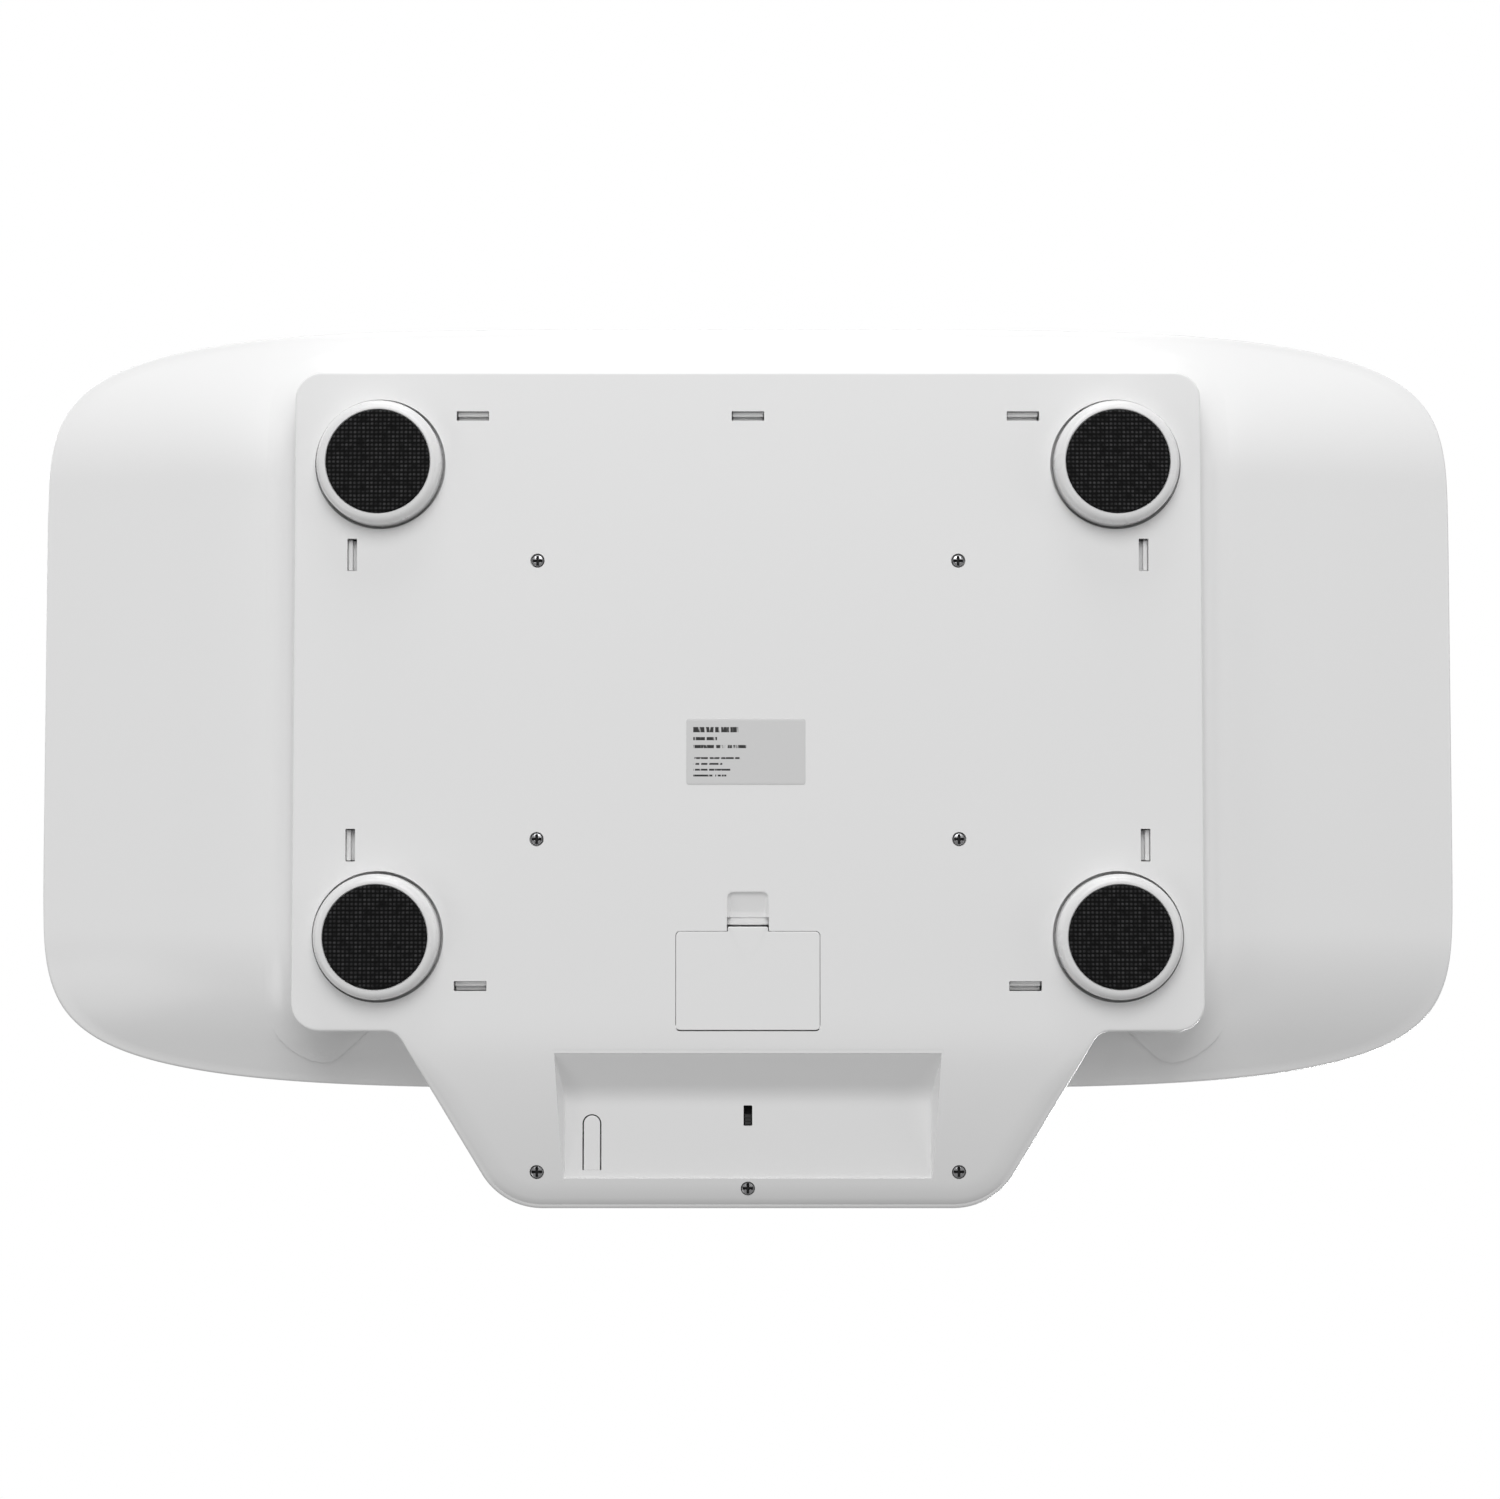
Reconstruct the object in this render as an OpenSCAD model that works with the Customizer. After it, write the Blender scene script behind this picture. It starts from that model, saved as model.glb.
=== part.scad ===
// Digital baby scale: a long curved weighing tray on a flat base with four weighing feet and a
// sloping console in front. Millimetres, +Z up, +X to the right and +Y away for someone who stands in
// front and reads the display. The origin is under the middle of the overall box, on the surface that
// the feet stand on.

/* [Tray] */
// Length of the weighing tray
tray_length = 550; // [544:1:556]
// Depth of the weighing tray, front to back
tray_depth = 298; // [296:1:300]
// Wall thickness of the tray
tray_wall = 2.8; // [2.4:0.1:3.2]
// Rise of the front and back rims above the tray's flat middle
rim_rise = 20; // [18:0.5:21]
// Rise of the two ends above the tray's flat middle
end_rise = 18.5; // [14:0.5:20]

/* [Base] */
// Width of the base housing
base_width = 344; // [342:1:346]
// Depth of the base housing
base_depth = 250; // [249:0.5:251]
// Corner radius of the base housing
base_corner = 10.5; // [8:0.5:12]
// Wall thickness of the mouldings
wall = 2.2; // [2:0.1:2.4]
// Height of the base plate's underside above the floor
plate_z = 9; // [8.8:0.1:9.2]
// Height of the flat deck that the tray sits on
deck_z = 29; // [28.5:0.1:29.5]

/* [Console] */
// Distance from the middle of the base to the console's nose
console_reach = 193; // [192:0.5:194]
// Slope of the display deck, degrees
deck_tilt = 16; // [15.6:0.1:16.4]
// Length of the display window
window_length = 62; // [58:1:64]
// Depth of the display window
window_depth = 18.5; // [17:0.5:19]
// Travel of the keys
key_travel = 0.6; // [0.4:0.1:0.6]

/* [Feet] */
// Distance between the left and right feet, centre to centre
foot_span_x = 279; // [278:0.5:280]
// Distance between the front and back feet, centre to centre
foot_span_y = 179; // [178:0.5:180]
// Diameter of a foot's cap
cap_d = 47.2; // [46:0.2:48]
// Diameter of a foot's non-slip pad
pad_d = 39.2; // [38:0.2:40]

/* [Battery bay] */
// Width of the battery door
door_w = 54.2; // [54:0.1:54.6]
// Depth of the battery door
door_d = 37; // [36.8:0.1:37.2]

/* [Hidden] */
$fn = 64;

plastic = "WhiteSmoke";
eps = 0.01;

// Base and console, in plan
base_shift = (console_reach - tray_depth / 2) / 2;
base_front = -base_depth / 2;
console_back_half = 132.2;
console_front_half = 93.5;
console_corner = 26;
console_fillet = 7;
plate_wall = 2.5;

// Base and console, from the side
under_slope = 0.243;
slope_start = base_front - 2;
part_z = plate_z + 8;
part_rise = 3.2;
deck_back_y = -150;
deck_back_z = deck_z + 14;

// Tray curves
rim_start = 88;
rim_straight = 130;
end_start = 150;
outline_x_power = 4;
outline_y_power = 9.5;
tray_tip = 60;

// Fixings
head_r = 2.5;
head_h = 1.4;
head_hole_r = 2.7;
shank_r = 1.4;
shank_hole_r = 1.6;
head_sink = 0.6;
seat_h = 4.3;
seat_r = 4.6;
pilot_r = 1.45;
boss_r = 4;
plate_screw_x = 79.7;
plate_screw_y = 52.75;
console_screw_at = [[80, -178.6], [-80, -178.6], [0, -185]];
console_boss_r = 3.5;
small_head_r = 2.2;
small_head_h = 1.1;
small_shank_r = 1.1;
small_pilot_r = 1.15;
tray_screw_at = [for (sx = [-1, 1], sy = [-1, 1]) [sx * 112, sy * 22]];
tray_boss_gap = 0.4;

// Feet
cap_r = cap_d / 2;
pad_r = pad_d / 2;
foot_hole_r = cap_r + 1.15;
flange_r = foot_hole_r + 0.65;
pad_h = 1.4;
cell_z = 17;
cell_h = 2;
cell_half = 17;
holder_half = 19.5;
holder_ear = 2.4;
foot_pin_r = 2.4;

// Snap hooks and their slots: place and turn
slot_l = 12.3;
slot_w = 3.7;
hook_half = 5.8;
slots = [[-104.5, 108, 0], [0, 108, 0], [104.5, 108, 0], [-104.5, -108, 0], [104.5, -108, 0],
    [-150, 55, 90], [150, 55, 90], [-150, -55, 90], [150, -55, 90]];

// Battery bay
door_front = -124.5;
door_back = door_front + door_d;
door_t = 2;
door_gap = 0.3;
door_pivot_y = door_front + door_t / 2;
door_pivot_z = plate_z + door_t / 2;
door_pin_r = 0.8;
tab_w = 15.1;
tab_l = 1.8;
latch_slot_back = door_back + 5.35;
scoop_w = 15.7;
scoop_back = latch_slot_back + 9.65;
bay_roof = 23.2;
bay_half = 25.9;
cell_r = 5.25;
cell_len = 44.5;
cell_pitch = 11.2;
cell_y = (door_front + door_back) / 2;
battery_z = plate_z + 8.2;

// Recess under the console
recess_floor = 22;
recess_shell = 2.2;
recess_half = 69.6;
recess_draft = 0.3;
recess_front = -181;
knob_w = 2.3;
knob_l = 3.9;
switch_y = -157.4;
tongue_x = 59.2;
tongue_w = 6.2;
tongue_gap = 0.5;
tongue_root = -178;
tongue_end = switch_y;
board_z = 28.4;
board_t = 1.2;

// Display deck, in its own frame: x, v up the slope, w out of the deck
window_v = -12.6;
lens_t = 1.5;
key_v = -28;
key_l = 17;
key_w = 5.6;
key_pitch = 24;
deck_t = 2.4;
main_board_w = -5.7;
frame_top_w = -2.5;

// ---------- shared shapes ----------

// The base's own frame: its origin is under the middle of the base plate
module at_base() { translate([0, base_shift, 0]) children(); }

// The display deck's frame
module at_deck() { translate([0, deck_back_y, deck_back_z]) rotate([deck_tilt, 0, 0]) children(); }

// A side profile, drawn as [y, z], carried across the whole width
module across(width = tray_length) {
    rotate([90, 0, 90]) linear_extrude(height = width, center = true) children();
}

module block(x0, x1, y0, y1, z0, z1) { translate([x0, y0, z0]) cube([x1 - x0, y1 - y0, z1 - z0]); }

module cylinder_at(r, z0, z1) { translate([0, 0, z0]) cylinder(r = r, h = z1 - z0); }

// A box of a given size, centred on x and v, between two heights
module plate_at(length, depth, x, v, w0, w1) {
    block(x - length / 2, x + length / 2, v - depth / 2, v + depth / 2, w0, w1);
}

module pill(length, width, z0, z1) {
    for (s = [-1, 1]) translate([s * (length - width) / 2, 0, z0]) cylinder(d = width, h = z1 - z0);
    block((width - length) / 2, (length - width) / 2, -width / 2, width / 2, z0, z1);
}

// Plan of the base with its console, drawn in by inset
module base_plan(inset = 0) {
    slant = (console_back_half - console_front_half) / (console_reach + base_front);
    root_y = base_front + 65;
    root_half = console_back_half + 65 * slant;
    offset(delta = -inset) offset(r = -console_fillet) offset(delta = console_fillet) union() {
        offset(r = base_corner)
            square([base_width - 2 * base_corner, base_depth - 2 * base_corner], center = true);
        offset(r = console_corner) offset(delta = -console_corner)
            polygon([[-root_half, root_y], [root_half, root_y],
                [console_front_half, -console_reach], [-console_front_half, -console_reach]]);
    }
}

// Height of the underside at y: flat under the base, sloping up to the console's nose
function under_z(y) = plate_z + under_slope * max(0, slope_start - y);

// Height of the line where the base cover meets the upper housing
function part_line(y) = max(part_z, under_z(y) + part_rise);
part_bend = slope_start - (part_z - plate_z - part_rise) / under_slope;

// Everything above the underside, raised by lift
module above_underside(lift = 0) {
    front = -console_reach - 5;
    across() polygon([[tray_depth, plate_z + lift], [slope_start, plate_z + lift],
        [front, under_z(front) + lift], [front, 90], [tray_depth, 90]]);
}

// Everything below the parting line
module below_parting() {
    front = -console_reach - 5;
    across() polygon([[tray_depth, 0], [front, 0], [front, part_line(front)],
        [part_bend, part_z], [tray_depth, part_z]]);
}

// ---------- tray ----------

// Rise of the rim at y: a parabola from rim_start, straight past rim_straight
function rim_curve(y) = let (a = abs(y), span = rim_straight - rim_start)
    a < rim_start ? 0 :
    a < rim_straight ? pow(a - rim_start, 2) / (2 * span) : span / 2 + a - rim_straight;

function end_curve(x) = pow(max(0, (abs(x) - end_start) / (tray_length / 2 - end_start)), 2);

function rim_lift(y) = rim_rise * rim_curve(y) / rim_curve(tray_depth / 2);

function tray_under(x, y) = deck_z + rim_lift(y) + end_rise * end_curve(x);

// Half length of the tray's superellipse outline at y
function tray_half(y) = max(tray_tip, tray_length / 2
    * pow(1 - pow(abs(y) / (tray_depth / 2), outline_y_power), 1 / outline_x_power));

module tray_shell() {
    rows = 14;
    cols = 10;
    nr = 2 * rows + 1;
    nc = 2 * cols + 1;
    // Rows crowd towards the rims, where the surface curves
    ys = [for (i = [-rows:rows]) sign(i) * tray_depth / 2 * (1 - pow(1 - abs(i) / rows, 2.2))];
    function level(top) = [for (y = ys, j = [-cols:cols])
        let (x = tray_half(y) * j / cols) [x, y, tray_under(x, y) + top]];
    function id(i, j, top) = top * nr * nc + i * nc + j;
    skins = [for (i = [0:nr - 2], j = [0:nc - 2], k = [0, 1])
        let (a = id(i, j, 0), b = id(i, j + 1, 0), c = id(i + 1, j + 1, 0), d = id(i + 1, j, 0),
            n = nr * nc)
        each (k == 0 ? [[a, b, c], [a, c, d]] : [[a + n, c + n, b + n], [a + n, d + n, c + n]])];
    ends = [for (j = [0:nc - 2], e = [0, 1]) let (i = e * (nr - 1),
        a = id(i, j, 0), b = id(i, j + 1, 0), c = id(i, j + 1, 1), d = id(i, j, 1))
        each (e == 0 ? [[a, d, c], [a, c, b]] : [[a, b, c], [a, c, d]])];
    sides = [for (i = [0:nr - 2], e = [0, 1]) let (j = e * (nc - 1),
        a = id(i, j, 0), b = id(i + 1, j, 0), c = id(i + 1, j, 1), d = id(i, j, 1))
        each (e == 0 ? [[a, b, c], [a, c, d]] : [[a, c, b], [a, d, c]])];
    polyhedron(concat(level(0), level(tray_wall)), concat(skins, ends, sides));
}

module weighing_tray() {
    color(plastic) at_base() difference() {
        union() {
            tray_shell();
            for (p = tray_screw_at) translate([p[0], p[1], deck_z - plate_wall + 0.05])
                cylinder(r = boss_r, h = plate_wall + 1);
        }
        for (p = tray_screw_at) translate([p[0], p[1], deck_z - plate_wall])
            cylinder(r = pilot_r, h = plate_wall + 1.6);
    }
}

// ---------- upper housing ----------

// Points of the housing's top, following the tray's underside a little below it
function under_tray(y) = deck_z + rim_lift(y) - tray_boss_gap;

module upper_profile() {
    front = -console_reach - 5;
    ridge_y = -141;
    function deck_line(y) = deck_back_z + (y - deck_back_y) * tan(deck_tilt);
    back = [for (y = [124:-6:94]) [y, under_tray(y)]];
    polygon(concat([[tray_depth / 2, part_z], [tray_depth / 2, under_tray(124)]], back,
        [[rim_start, deck_z], [-rim_start, deck_z]],
        [for (y = [-94:-6:-136]) [y, under_tray(y)]],
        [[ridge_y, under_tray(ridge_y) - 0.6], [deck_back_y + 1.5, deck_back_z + 0.4],
            [front, deck_line(front)], [front, part_line(front)], [part_bend, part_z]]));
}

// A hook that comes down through a slot and catches under a lip of the base cover
module hook(top_z) {
    block(-hook_half, hook_half, -0.6, 0.95, plate_z + 3, top_z);
    block(-hook_half, hook_half, 0.9, 1.6, plate_z + 4.2, plate_z + 5.6);
}

module hook_post() {
    block(-slot_l / 2, slot_l / 2, slot_w / 2, slot_w / 2 + 1.2, plate_z + 2, plate_z + 7);
    block(-slot_l / 2, slot_l / 2, slot_w / 2 - 0.75, slot_w / 2 + 0.5, plate_z + 5.8, plate_z + 7);
}

module at_slot(s) { translate([s[0], s[1], 0]) rotate([0, 0, s[2]]) children(); }

module at_slots() { for (s = slots) at_slot(s) children(); }

module at_feet() {
    for (sx = [-1, 1], sy = [-1, 1]) translate([sx * foot_span_x / 2, sy * foot_span_y / 2, 0])
        children();
}

module at_plate_screws() {
    for (sx = [-1, 1], sy = [-1, 1]) translate([sx * plate_screw_x, sy * plate_screw_y, 0])
        children();
}

module at_board_screws() {
    for (x = [-38.5, 38.5], v = [-4, -29.5]) translate([x, v, 0]) children();
}

// Underside of the display deck, measured straight down from its top at y
function deck_inside(y) = deck_back_z + (y - deck_back_y) * tan(deck_tilt) - plate_wall;

module upper_housing() {
    color(plastic) at_base() difference() {
        union() {
            difference() {
                intersection() {
                    linear_extrude(height = 90) base_plan();
                    across() upper_profile();
                }
                intersection() {
                    linear_extrude(height = 90) base_plan(wall);
                    across() translate([0, -plate_wall]) union() {
                        upper_profile();
                        polygon([[tray_depth, part_z - 9], [tray_depth, part_z + 1],
                            [part_bend, part_z + 1], [-console_reach - 5, part_line(-console_reach - 5)
                            + 0.5], [-console_reach - 5, part_z - 9]]);
                    }
                }
            }
            for (s = slots) at_slot(s) hook(deck_z - 1 + rim_lift(s[1]));
            at_plate_screws() cylinder_at(boss_r, plate_z + seat_h + 0.1, deck_z - 1);
            for (p = console_screw_at) translate([p[0], p[1], 0])
                cylinder_at(console_boss_r, under_z(p[1]) + seat_h + 0.1, deck_inside(p[1]) + 1);
            at_deck() at_board_screws() translate([0, 0, main_board_w])
                cylinder(r = 2.4, h = -main_board_w - 1);
        }
        at_plate_screws() translate([0, 0, plate_z]) cylinder(r = pilot_r, h = 15);
        for (p = console_screw_at) translate([p[0], p[1], under_z(p[1])])
            cylinder(r = pilot_r, h = 8.2);
        at_feet() at_holder_screws() cylinder_at(small_pilot_r, deck_z - 3, deck_z - 0.8);
        for (p = tray_screw_at) translate([p[0], p[1], deck_z - 5])
            cylinder(r = boss_r + tray_boss_gap, h = 6);
        at_deck() {
            plate_at(window_length + 2.6, window_depth + 2.6, 0, window_v, -lens_t - 0.1, 5);
            plate_at(window_length - 0.4, window_depth - 0.4, 0, window_v, -5, 0);
            for (k = [-1:1]) translate([k * key_pitch, key_v, 0])
                pill(key_l + 0.5, key_w + 0.5, -5, 5);
            at_board_screws() cylinder_at(small_pilot_r, main_board_w - 1, main_board_w + 2.6);
        }
    }
}

// ---------- base cover ----------

// The finger recess under the console, grown outwards for its shell
module recess(grow = 0) {
    intersection() {
        across() offset(delta = grow)
            polygon([[-126.7, 4.9], [-149.5, recess_floor], [recess_front, recess_floor],
                [recess_front, 4.9]]);
        translate([0, recess_front - 4, 0]) rotate([90, 0, 180]) linear_extrude(height = 80)
            offset(delta = grow) polygon([
                [-recess_half - recess_draft * 18, recess_floor - 18], [-recess_half, recess_floor],
                [recess_half, recess_floor], [recess_half + recess_draft * 18, recess_floor - 18]]);
    }
}

// Shallow scoop for a fingertip behind the battery door's tab
module scoop(grow = 0) {
    intersection() {
        translate([0, 0, plate_z - 2]) linear_extrude(height = 12)
            offset(r = 2.5 + grow) offset(delta = -2.5) polygon([
                [-scoop_w / 2, latch_slot_back - 3], [scoop_w / 2, latch_slot_back - 3],
                [scoop_w / 2, scoop_back], [-scoop_w / 2, scoop_back]]);
        across() polygon([[scoop_back + 3, plate_z - 2], [scoop_back + 3, plate_z + 0.6 + grow],
            [latch_slot_back + 2, plate_z + 3 + grow], [latch_slot_back, plate_z + 3 + grow],
            [latch_slot_back, plate_z - 2]]);
    }
}

module battery_tub() {
    block(-door_w / 2 - 1.8, door_w / 2 + 1.8, door_front - 1.8, door_back + 1.6,
        plate_z, bay_roof + 1.6);
}

module bay_cuts() {
    half = door_w / 2 + door_gap;
    block(-half, half, door_front - 0.35, door_back + door_gap, plate_z - 2, plate_z + 2.1);
    block(-bay_half, bay_half, door_front + 1.2, door_back - 1.3, plate_z, bay_roof);
    block(-tab_w / 2 - 0.35, tab_w / 2 + 0.35, door_back - 1.5, latch_slot_back,
        plate_z - 2, plate_z + 9.5);
    for (s = [-1, 1]) translate([s * (door_w / 2 - 0.5), door_pivot_y, door_pivot_z])
        rotate([0, s * 90, 0]) cylinder(r = door_pin_r + 0.05, h = 2);
}

// The press tongue's outline, drawn out by grow
module tongue_plan(grow = 0) {
    r = tongue_w / 2 + grow;
    translate([tongue_x, tongue_end - tongue_w / 2]) circle(r = r);
    translate([tongue_x - r, tongue_root]) square([2 * r, tongue_end - tongue_w / 2 - tongue_root]);
}

board_post_at = [[22, -158.5], [44, -158.5]];

// A counterbored hole whose mouth is at height z
module screw_hole(z) {
    cylinder_at(head_hole_r, z - 4, z + head_sink + head_h);
    cylinder_at(shank_hole_r, z - 4, z + seat_h + 1);
}

module base_cover() {
    color(plastic) at_base() difference() {
        union() {
            difference() {
                intersection() {
                    linear_extrude(height = 90) base_plan();
                    above_underside();
                    below_parting();
                }
                intersection() {
                    linear_extrude(height = 90) base_plan(wall);
                    above_underside(plate_wall);
                }
            }
            intersection() {
                linear_extrude(height = 90) base_plan(1);
                above_underside();
                recess(recess_shell);
            }
            battery_tub();
            intersection() {
                above_underside();
                scoop(1.5);
            }
            at_slots() hook_post();
            at_plate_screws() cylinder_at(seat_r, plate_z + 1, plate_z + seat_h);
            intersection() {
                above_underside();
                for (p = console_screw_at) translate([p[0], p[1], 0])
                    cylinder_at(seat_r, plate_z, under_z(p[1]) + seat_h);
            }
            for (p = board_post_at) translate([p[0], p[1], recess_floor + 1])
                cylinder(r = 2.6, h = board_z - recess_floor - 1);
        }
        recess();
        bay_cuts();
        scoop();
        at_slots() block(-slot_l / 2, slot_l / 2, -slot_w / 2, slot_w / 2 - 0.01,
            plate_z - 2, plate_z + 3);
        at_feet() translate([0, 0, plate_z - 2]) cylinder(r = foot_hole_r, h = 8);
        at_plate_screws() screw_hole(plate_z);
        for (p = console_screw_at) translate([p[0], p[1], 0]) screw_hole(under_z(p[1]));
        block(-knob_w / 2 - 0.5, knob_w / 2 + 0.5, switch_y - 3.85, switch_y + 3.85,
            recess_floor - 1, recess_floor + 4);
        translate([0, 0, recess_floor - 1]) linear_extrude(height = 4) tongue_plan(tongue_gap);
        for (p = board_post_at) translate([p[0], p[1], 0])
            cylinder_at(small_pilot_r, recess_floor + 2.6, board_z + 1);
    }
}

// ---------- feet and load cells ----------

module foot_cap() {
    floor_z = pad_h;
    skirt_in = cap_r - 2;
    top_z = plate_z + plate_wall + 3;
    edge = 2.2;
    color("white") rotate_extrude($fn = 96) polygon(concat(
        [[0, floor_z], [pad_r + 0.15, floor_z], [pad_r + 0.15, floor_z - 0.6]],
        [for (a = [0:15:90]) [cap_r - edge + edge * sin(a), floor_z - 0.6 + edge * (1 - cos(a))]],
        [[cap_r, top_z - 1.3], [flange_r, top_z - 1.3], [flange_r, top_z], [skirt_in, top_z],
            [skirt_in, floor_z + 2], [6, floor_z + 2], [6, cell_z], [foot_pin_r, cell_z],
            [foot_pin_r, cell_z + cell_h + 1], [0, cell_z + cell_h + 1]]));
}

module foot_pad() {
    color("#202022") rotate_extrude($fn = 96)
        polygon([[0, 0], [pad_r - 0.4, 0], [pad_r, 0.4], [pad_r, pad_h], [0, pad_h]]);
}

// A steel plate with a tongue left in its middle by an E-shaped cut
module load_cell() {
    color("silver") difference() {
        block(-cell_half, cell_half, -cell_half, cell_half, cell_z, cell_z + cell_h);
        difference() {
            block(-12.5, 12.5, -12.5, 12.5, cell_z - 1, cell_z + cell_h + 1);
            block(-8, 8, -9, 13, cell_z - 2, cell_z + cell_h + 2);
        }
        for (s = [-1, 1]) block(s * 6 - 0.8, s * 6 + 0.8, 3.5, 11, cell_z - 1, cell_z + cell_h + 1);
        cylinder_at(foot_pin_r + 0.1, cell_z - 1, cell_z + cell_h + 1);
    }
}

module at_holder_screws() {
    for (s = [-1, 1]) translate([s * (holder_half + holder_ear), 0, 0]) children();
}

// A square frame under the deck that grips the load cell round its edge
module cell_holder() {
    top_z = deck_z - plate_wall - 0.05;
    grip = 1.2;
    color("gainsboro") difference() {
        union() {
            block(-holder_half, holder_half, -holder_half, holder_half, cell_z - 1.6, top_z);
            at_holder_screws() cylinder_at(3.4, top_z - 3, top_z);
        }
        block(-14, 14, -14, 14, cell_z - 3, top_z + 1);
        block(-cell_half - 0.1, cell_half + 0.1, -cell_half - 0.1, cell_half + 0.1,
            cell_z - 0.05, cell_z + cell_h + 0.1);
        block(-cell_half + grip, cell_half - grip, -cell_half + grip, cell_half - grip,
            cell_z - 3, cell_z);
        at_holder_screws() cylinder_at(1.25, top_z - 4, top_z + 1);
    }
}

module at_foot(sx, sy) {
    at_base() translate([sx * foot_span_x / 2, sy * foot_span_y / 2, 0]) children();
}

// ---------- battery bay ----------

module battery_door() {
    half = door_w / 2;
    color(plastic) at_base() union() {
        block(-half, half, door_pivot_y, door_back, plate_z, plate_z + door_t);
        translate([-half - 1.2, door_pivot_y, door_pivot_z]) rotate([0, 90, 0])
            cylinder(r = door_pin_r, h = door_w + 2.4);
        translate([-half, door_pivot_y, door_pivot_z]) rotate([0, 90, 0])
            cylinder(r = door_t / 2, h = door_w);
        block(-tab_w / 2, tab_w / 2, door_back - 1, door_back + tab_l, plate_z, plate_z + door_t);
        block(-6.5, 6.5, door_back + 0.2, door_back + 1.4, plate_z + 1, plate_z + 8);
    }
}

// Each cell lies along X; side says which end carries its positive nub
module battery(k) {
    side = k % 2 == 0 ? 1 : -1;
    nub = 1;
    at_base() translate([0, cell_y + (k - 1) * cell_pitch, battery_z]) rotate([0, side * 90, 0]) {
        color("darkslategray") translate([0, 0, -cell_len / 2]) cylinder(r = cell_r, h = cell_len - nub);
        color("silver") translate([0, 0, cell_len / 2 - nub - eps]) cylinder(r = 1.9, h = nub + eps);
    }
}

module at_cells() {
    at_base() for (k = [0:2]) translate([0, cell_y + (k - 1) * cell_pitch, battery_z])
        rotate([0, k % 2 == 0 ? 90 : -90, 0]) children();
}

// A conical wire spring along +Z from radius r0 to r1: a round wire carried along a helix
module wire_spring(r0, r1, h, turns, wire) {
    sides = 6;
    rings = 32;
    pts = [for (i = [0:rings], j = [0:sides - 1]) let (t = i / rings, a = 360 * turns * t,
        b = 360 * j / sides, r = r0 + (r1 - r0) * t + wire * cos(b))
        [r * cos(a), r * sin(a), h * t + wire * sin(b)]];
    walls = [for (i = [0:rings - 1], j = [0:sides - 1]) let (k = (j + 1) % sides,
        a = i * sides + j, b = i * sides + k, c = (i + 1) * sides + k, d = (i + 1) * sides + j)
        each [[a, c, b], [a, d, c]]];
    caps = [[for (j = [0:sides - 1]) j], [for (j = [sides - 1:-1:0]) rings * sides + j]];
    polyhedron(pts, concat(walls, caps));
}

module battery_springs() {
    color("silver") at_cells() translate([0, 0, -bay_half + 0.85])
        wire_spring(4, 2.6, bay_half - cell_len / 2 - 1.25, 2.5, 0.3);
}

module contact_plates() {
    color("silver") at_cells() {
        block(-4.5, 4.5, -4.5, 4.5, -bay_half + 0.1, -bay_half + 0.5);
        block(-4.5, 4.5, -4.5, 4.5, bay_half - 0.5, bay_half - 0.1);
        cylinder_at(2.6, cell_len / 2 + 0.1, bay_half - 0.4);
    }
}

// ---------- display, keys and boards ----------

module main_board() {
    color("darkgreen") at_base() at_deck() difference() {
        plate_at(84, 30.6, 0, -16.9, main_board_w - board_t, main_board_w - 0.02);
        at_board_screws() cylinder_at(1.25, main_board_w - 3, main_board_w + 2);
    }
}

module lcd_glass() {
    color("#9fa994") at_base() at_deck()
        plate_at(window_length + 4, window_depth + 2, 0, window_v, -5, -2.6);
}

module lcd_frame() {
    color("white") at_base() at_deck() difference() {
        plate_at(70, 22, 0, window_v, main_board_w, frame_top_w);
        plate_at(window_length + 4.3, window_depth + 2.3, 0, window_v, main_board_w - 1, 0);
    }
}

module contact_strips() {
    color("hotpink") at_base() at_deck() for (s = [-1, 1])
        plate_at(window_length, 1.6, 0, window_v + s * 8.5, main_board_w, -5.02);
}

module display_lens() {
    color([0.8, 0.85, 0.85, 0.4]) at_base() at_deck()
        plate_at(window_length + 2.4, window_depth + 2.4, 0, window_v, -lens_t, 0);
}

// A key: a pill-shaped cap, a flange under the deck and a stem towards its switch
module key(k) {
    color("gainsboro") at_base() at_deck() translate([k * key_pitch, key_v, 0]) {
        pill(key_l, key_w, -3.3, 0.9);
        block(-9.6, 9.6, -3.8, 3.8, -3.4, -2.6);
        cylinder_at(1.5, -4.1, -3);
    }
}

module key_switches() {
    color("dimgray") at_base() at_deck() for (k = [-1:1]) translate([k * key_pitch, key_v, 0])
        cylinder_at(2.4, main_board_w, main_board_w + 0.9);
}

module switch_board() {
    color("darkgreen") at_base() difference() {
        block(-9, tongue_x + 6, -165, -152, board_z, board_z + board_t);
        for (p = board_post_at) translate([p[0], p[1], 0]) cylinder_at(1.25, board_z - 1, board_z + 3);
    }
}

module unit_switch_body() {
    color("dimgray") at_base() difference() {
        block(-2.4, 2.4, switch_y - 4.4, switch_y + 4.4, recess_floor + recess_shell + 0.3, board_z);
        block(-1.55, 1.55, switch_y - 3.7, switch_y + 3.7, recess_floor + 2, board_z - 1);
    }
}

module unit_switch_knob() {
    y0 = switch_y - 3.5;
    color("#151515") at_base() block(-knob_w / 2, knob_w / 2, y0, y0 + knob_l,
        recess_floor - 0.4, board_z - 1.3);
}

module reset_switch() {
    color("dimgray") at_base() translate([tongue_x, -160.5, 0]) {
        block(-3, 3, -3, 3, board_z - 2.2, board_z);
        cylinder_at(1.6, board_z - 2.8, board_z - 2);
    }
}

module press_tongue() {
    color(plastic) at_base() difference() {
        translate([0, 0, recess_floor]) linear_extrude(height = recess_shell) tongue_plan();
        block(0, 2 * tongue_x, tongue_root - 1, tongue_root + 0.15, recess_floor - 1, recess_floor + 3);
    }
}

// ---------- fasteners, wires and label ----------

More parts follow.
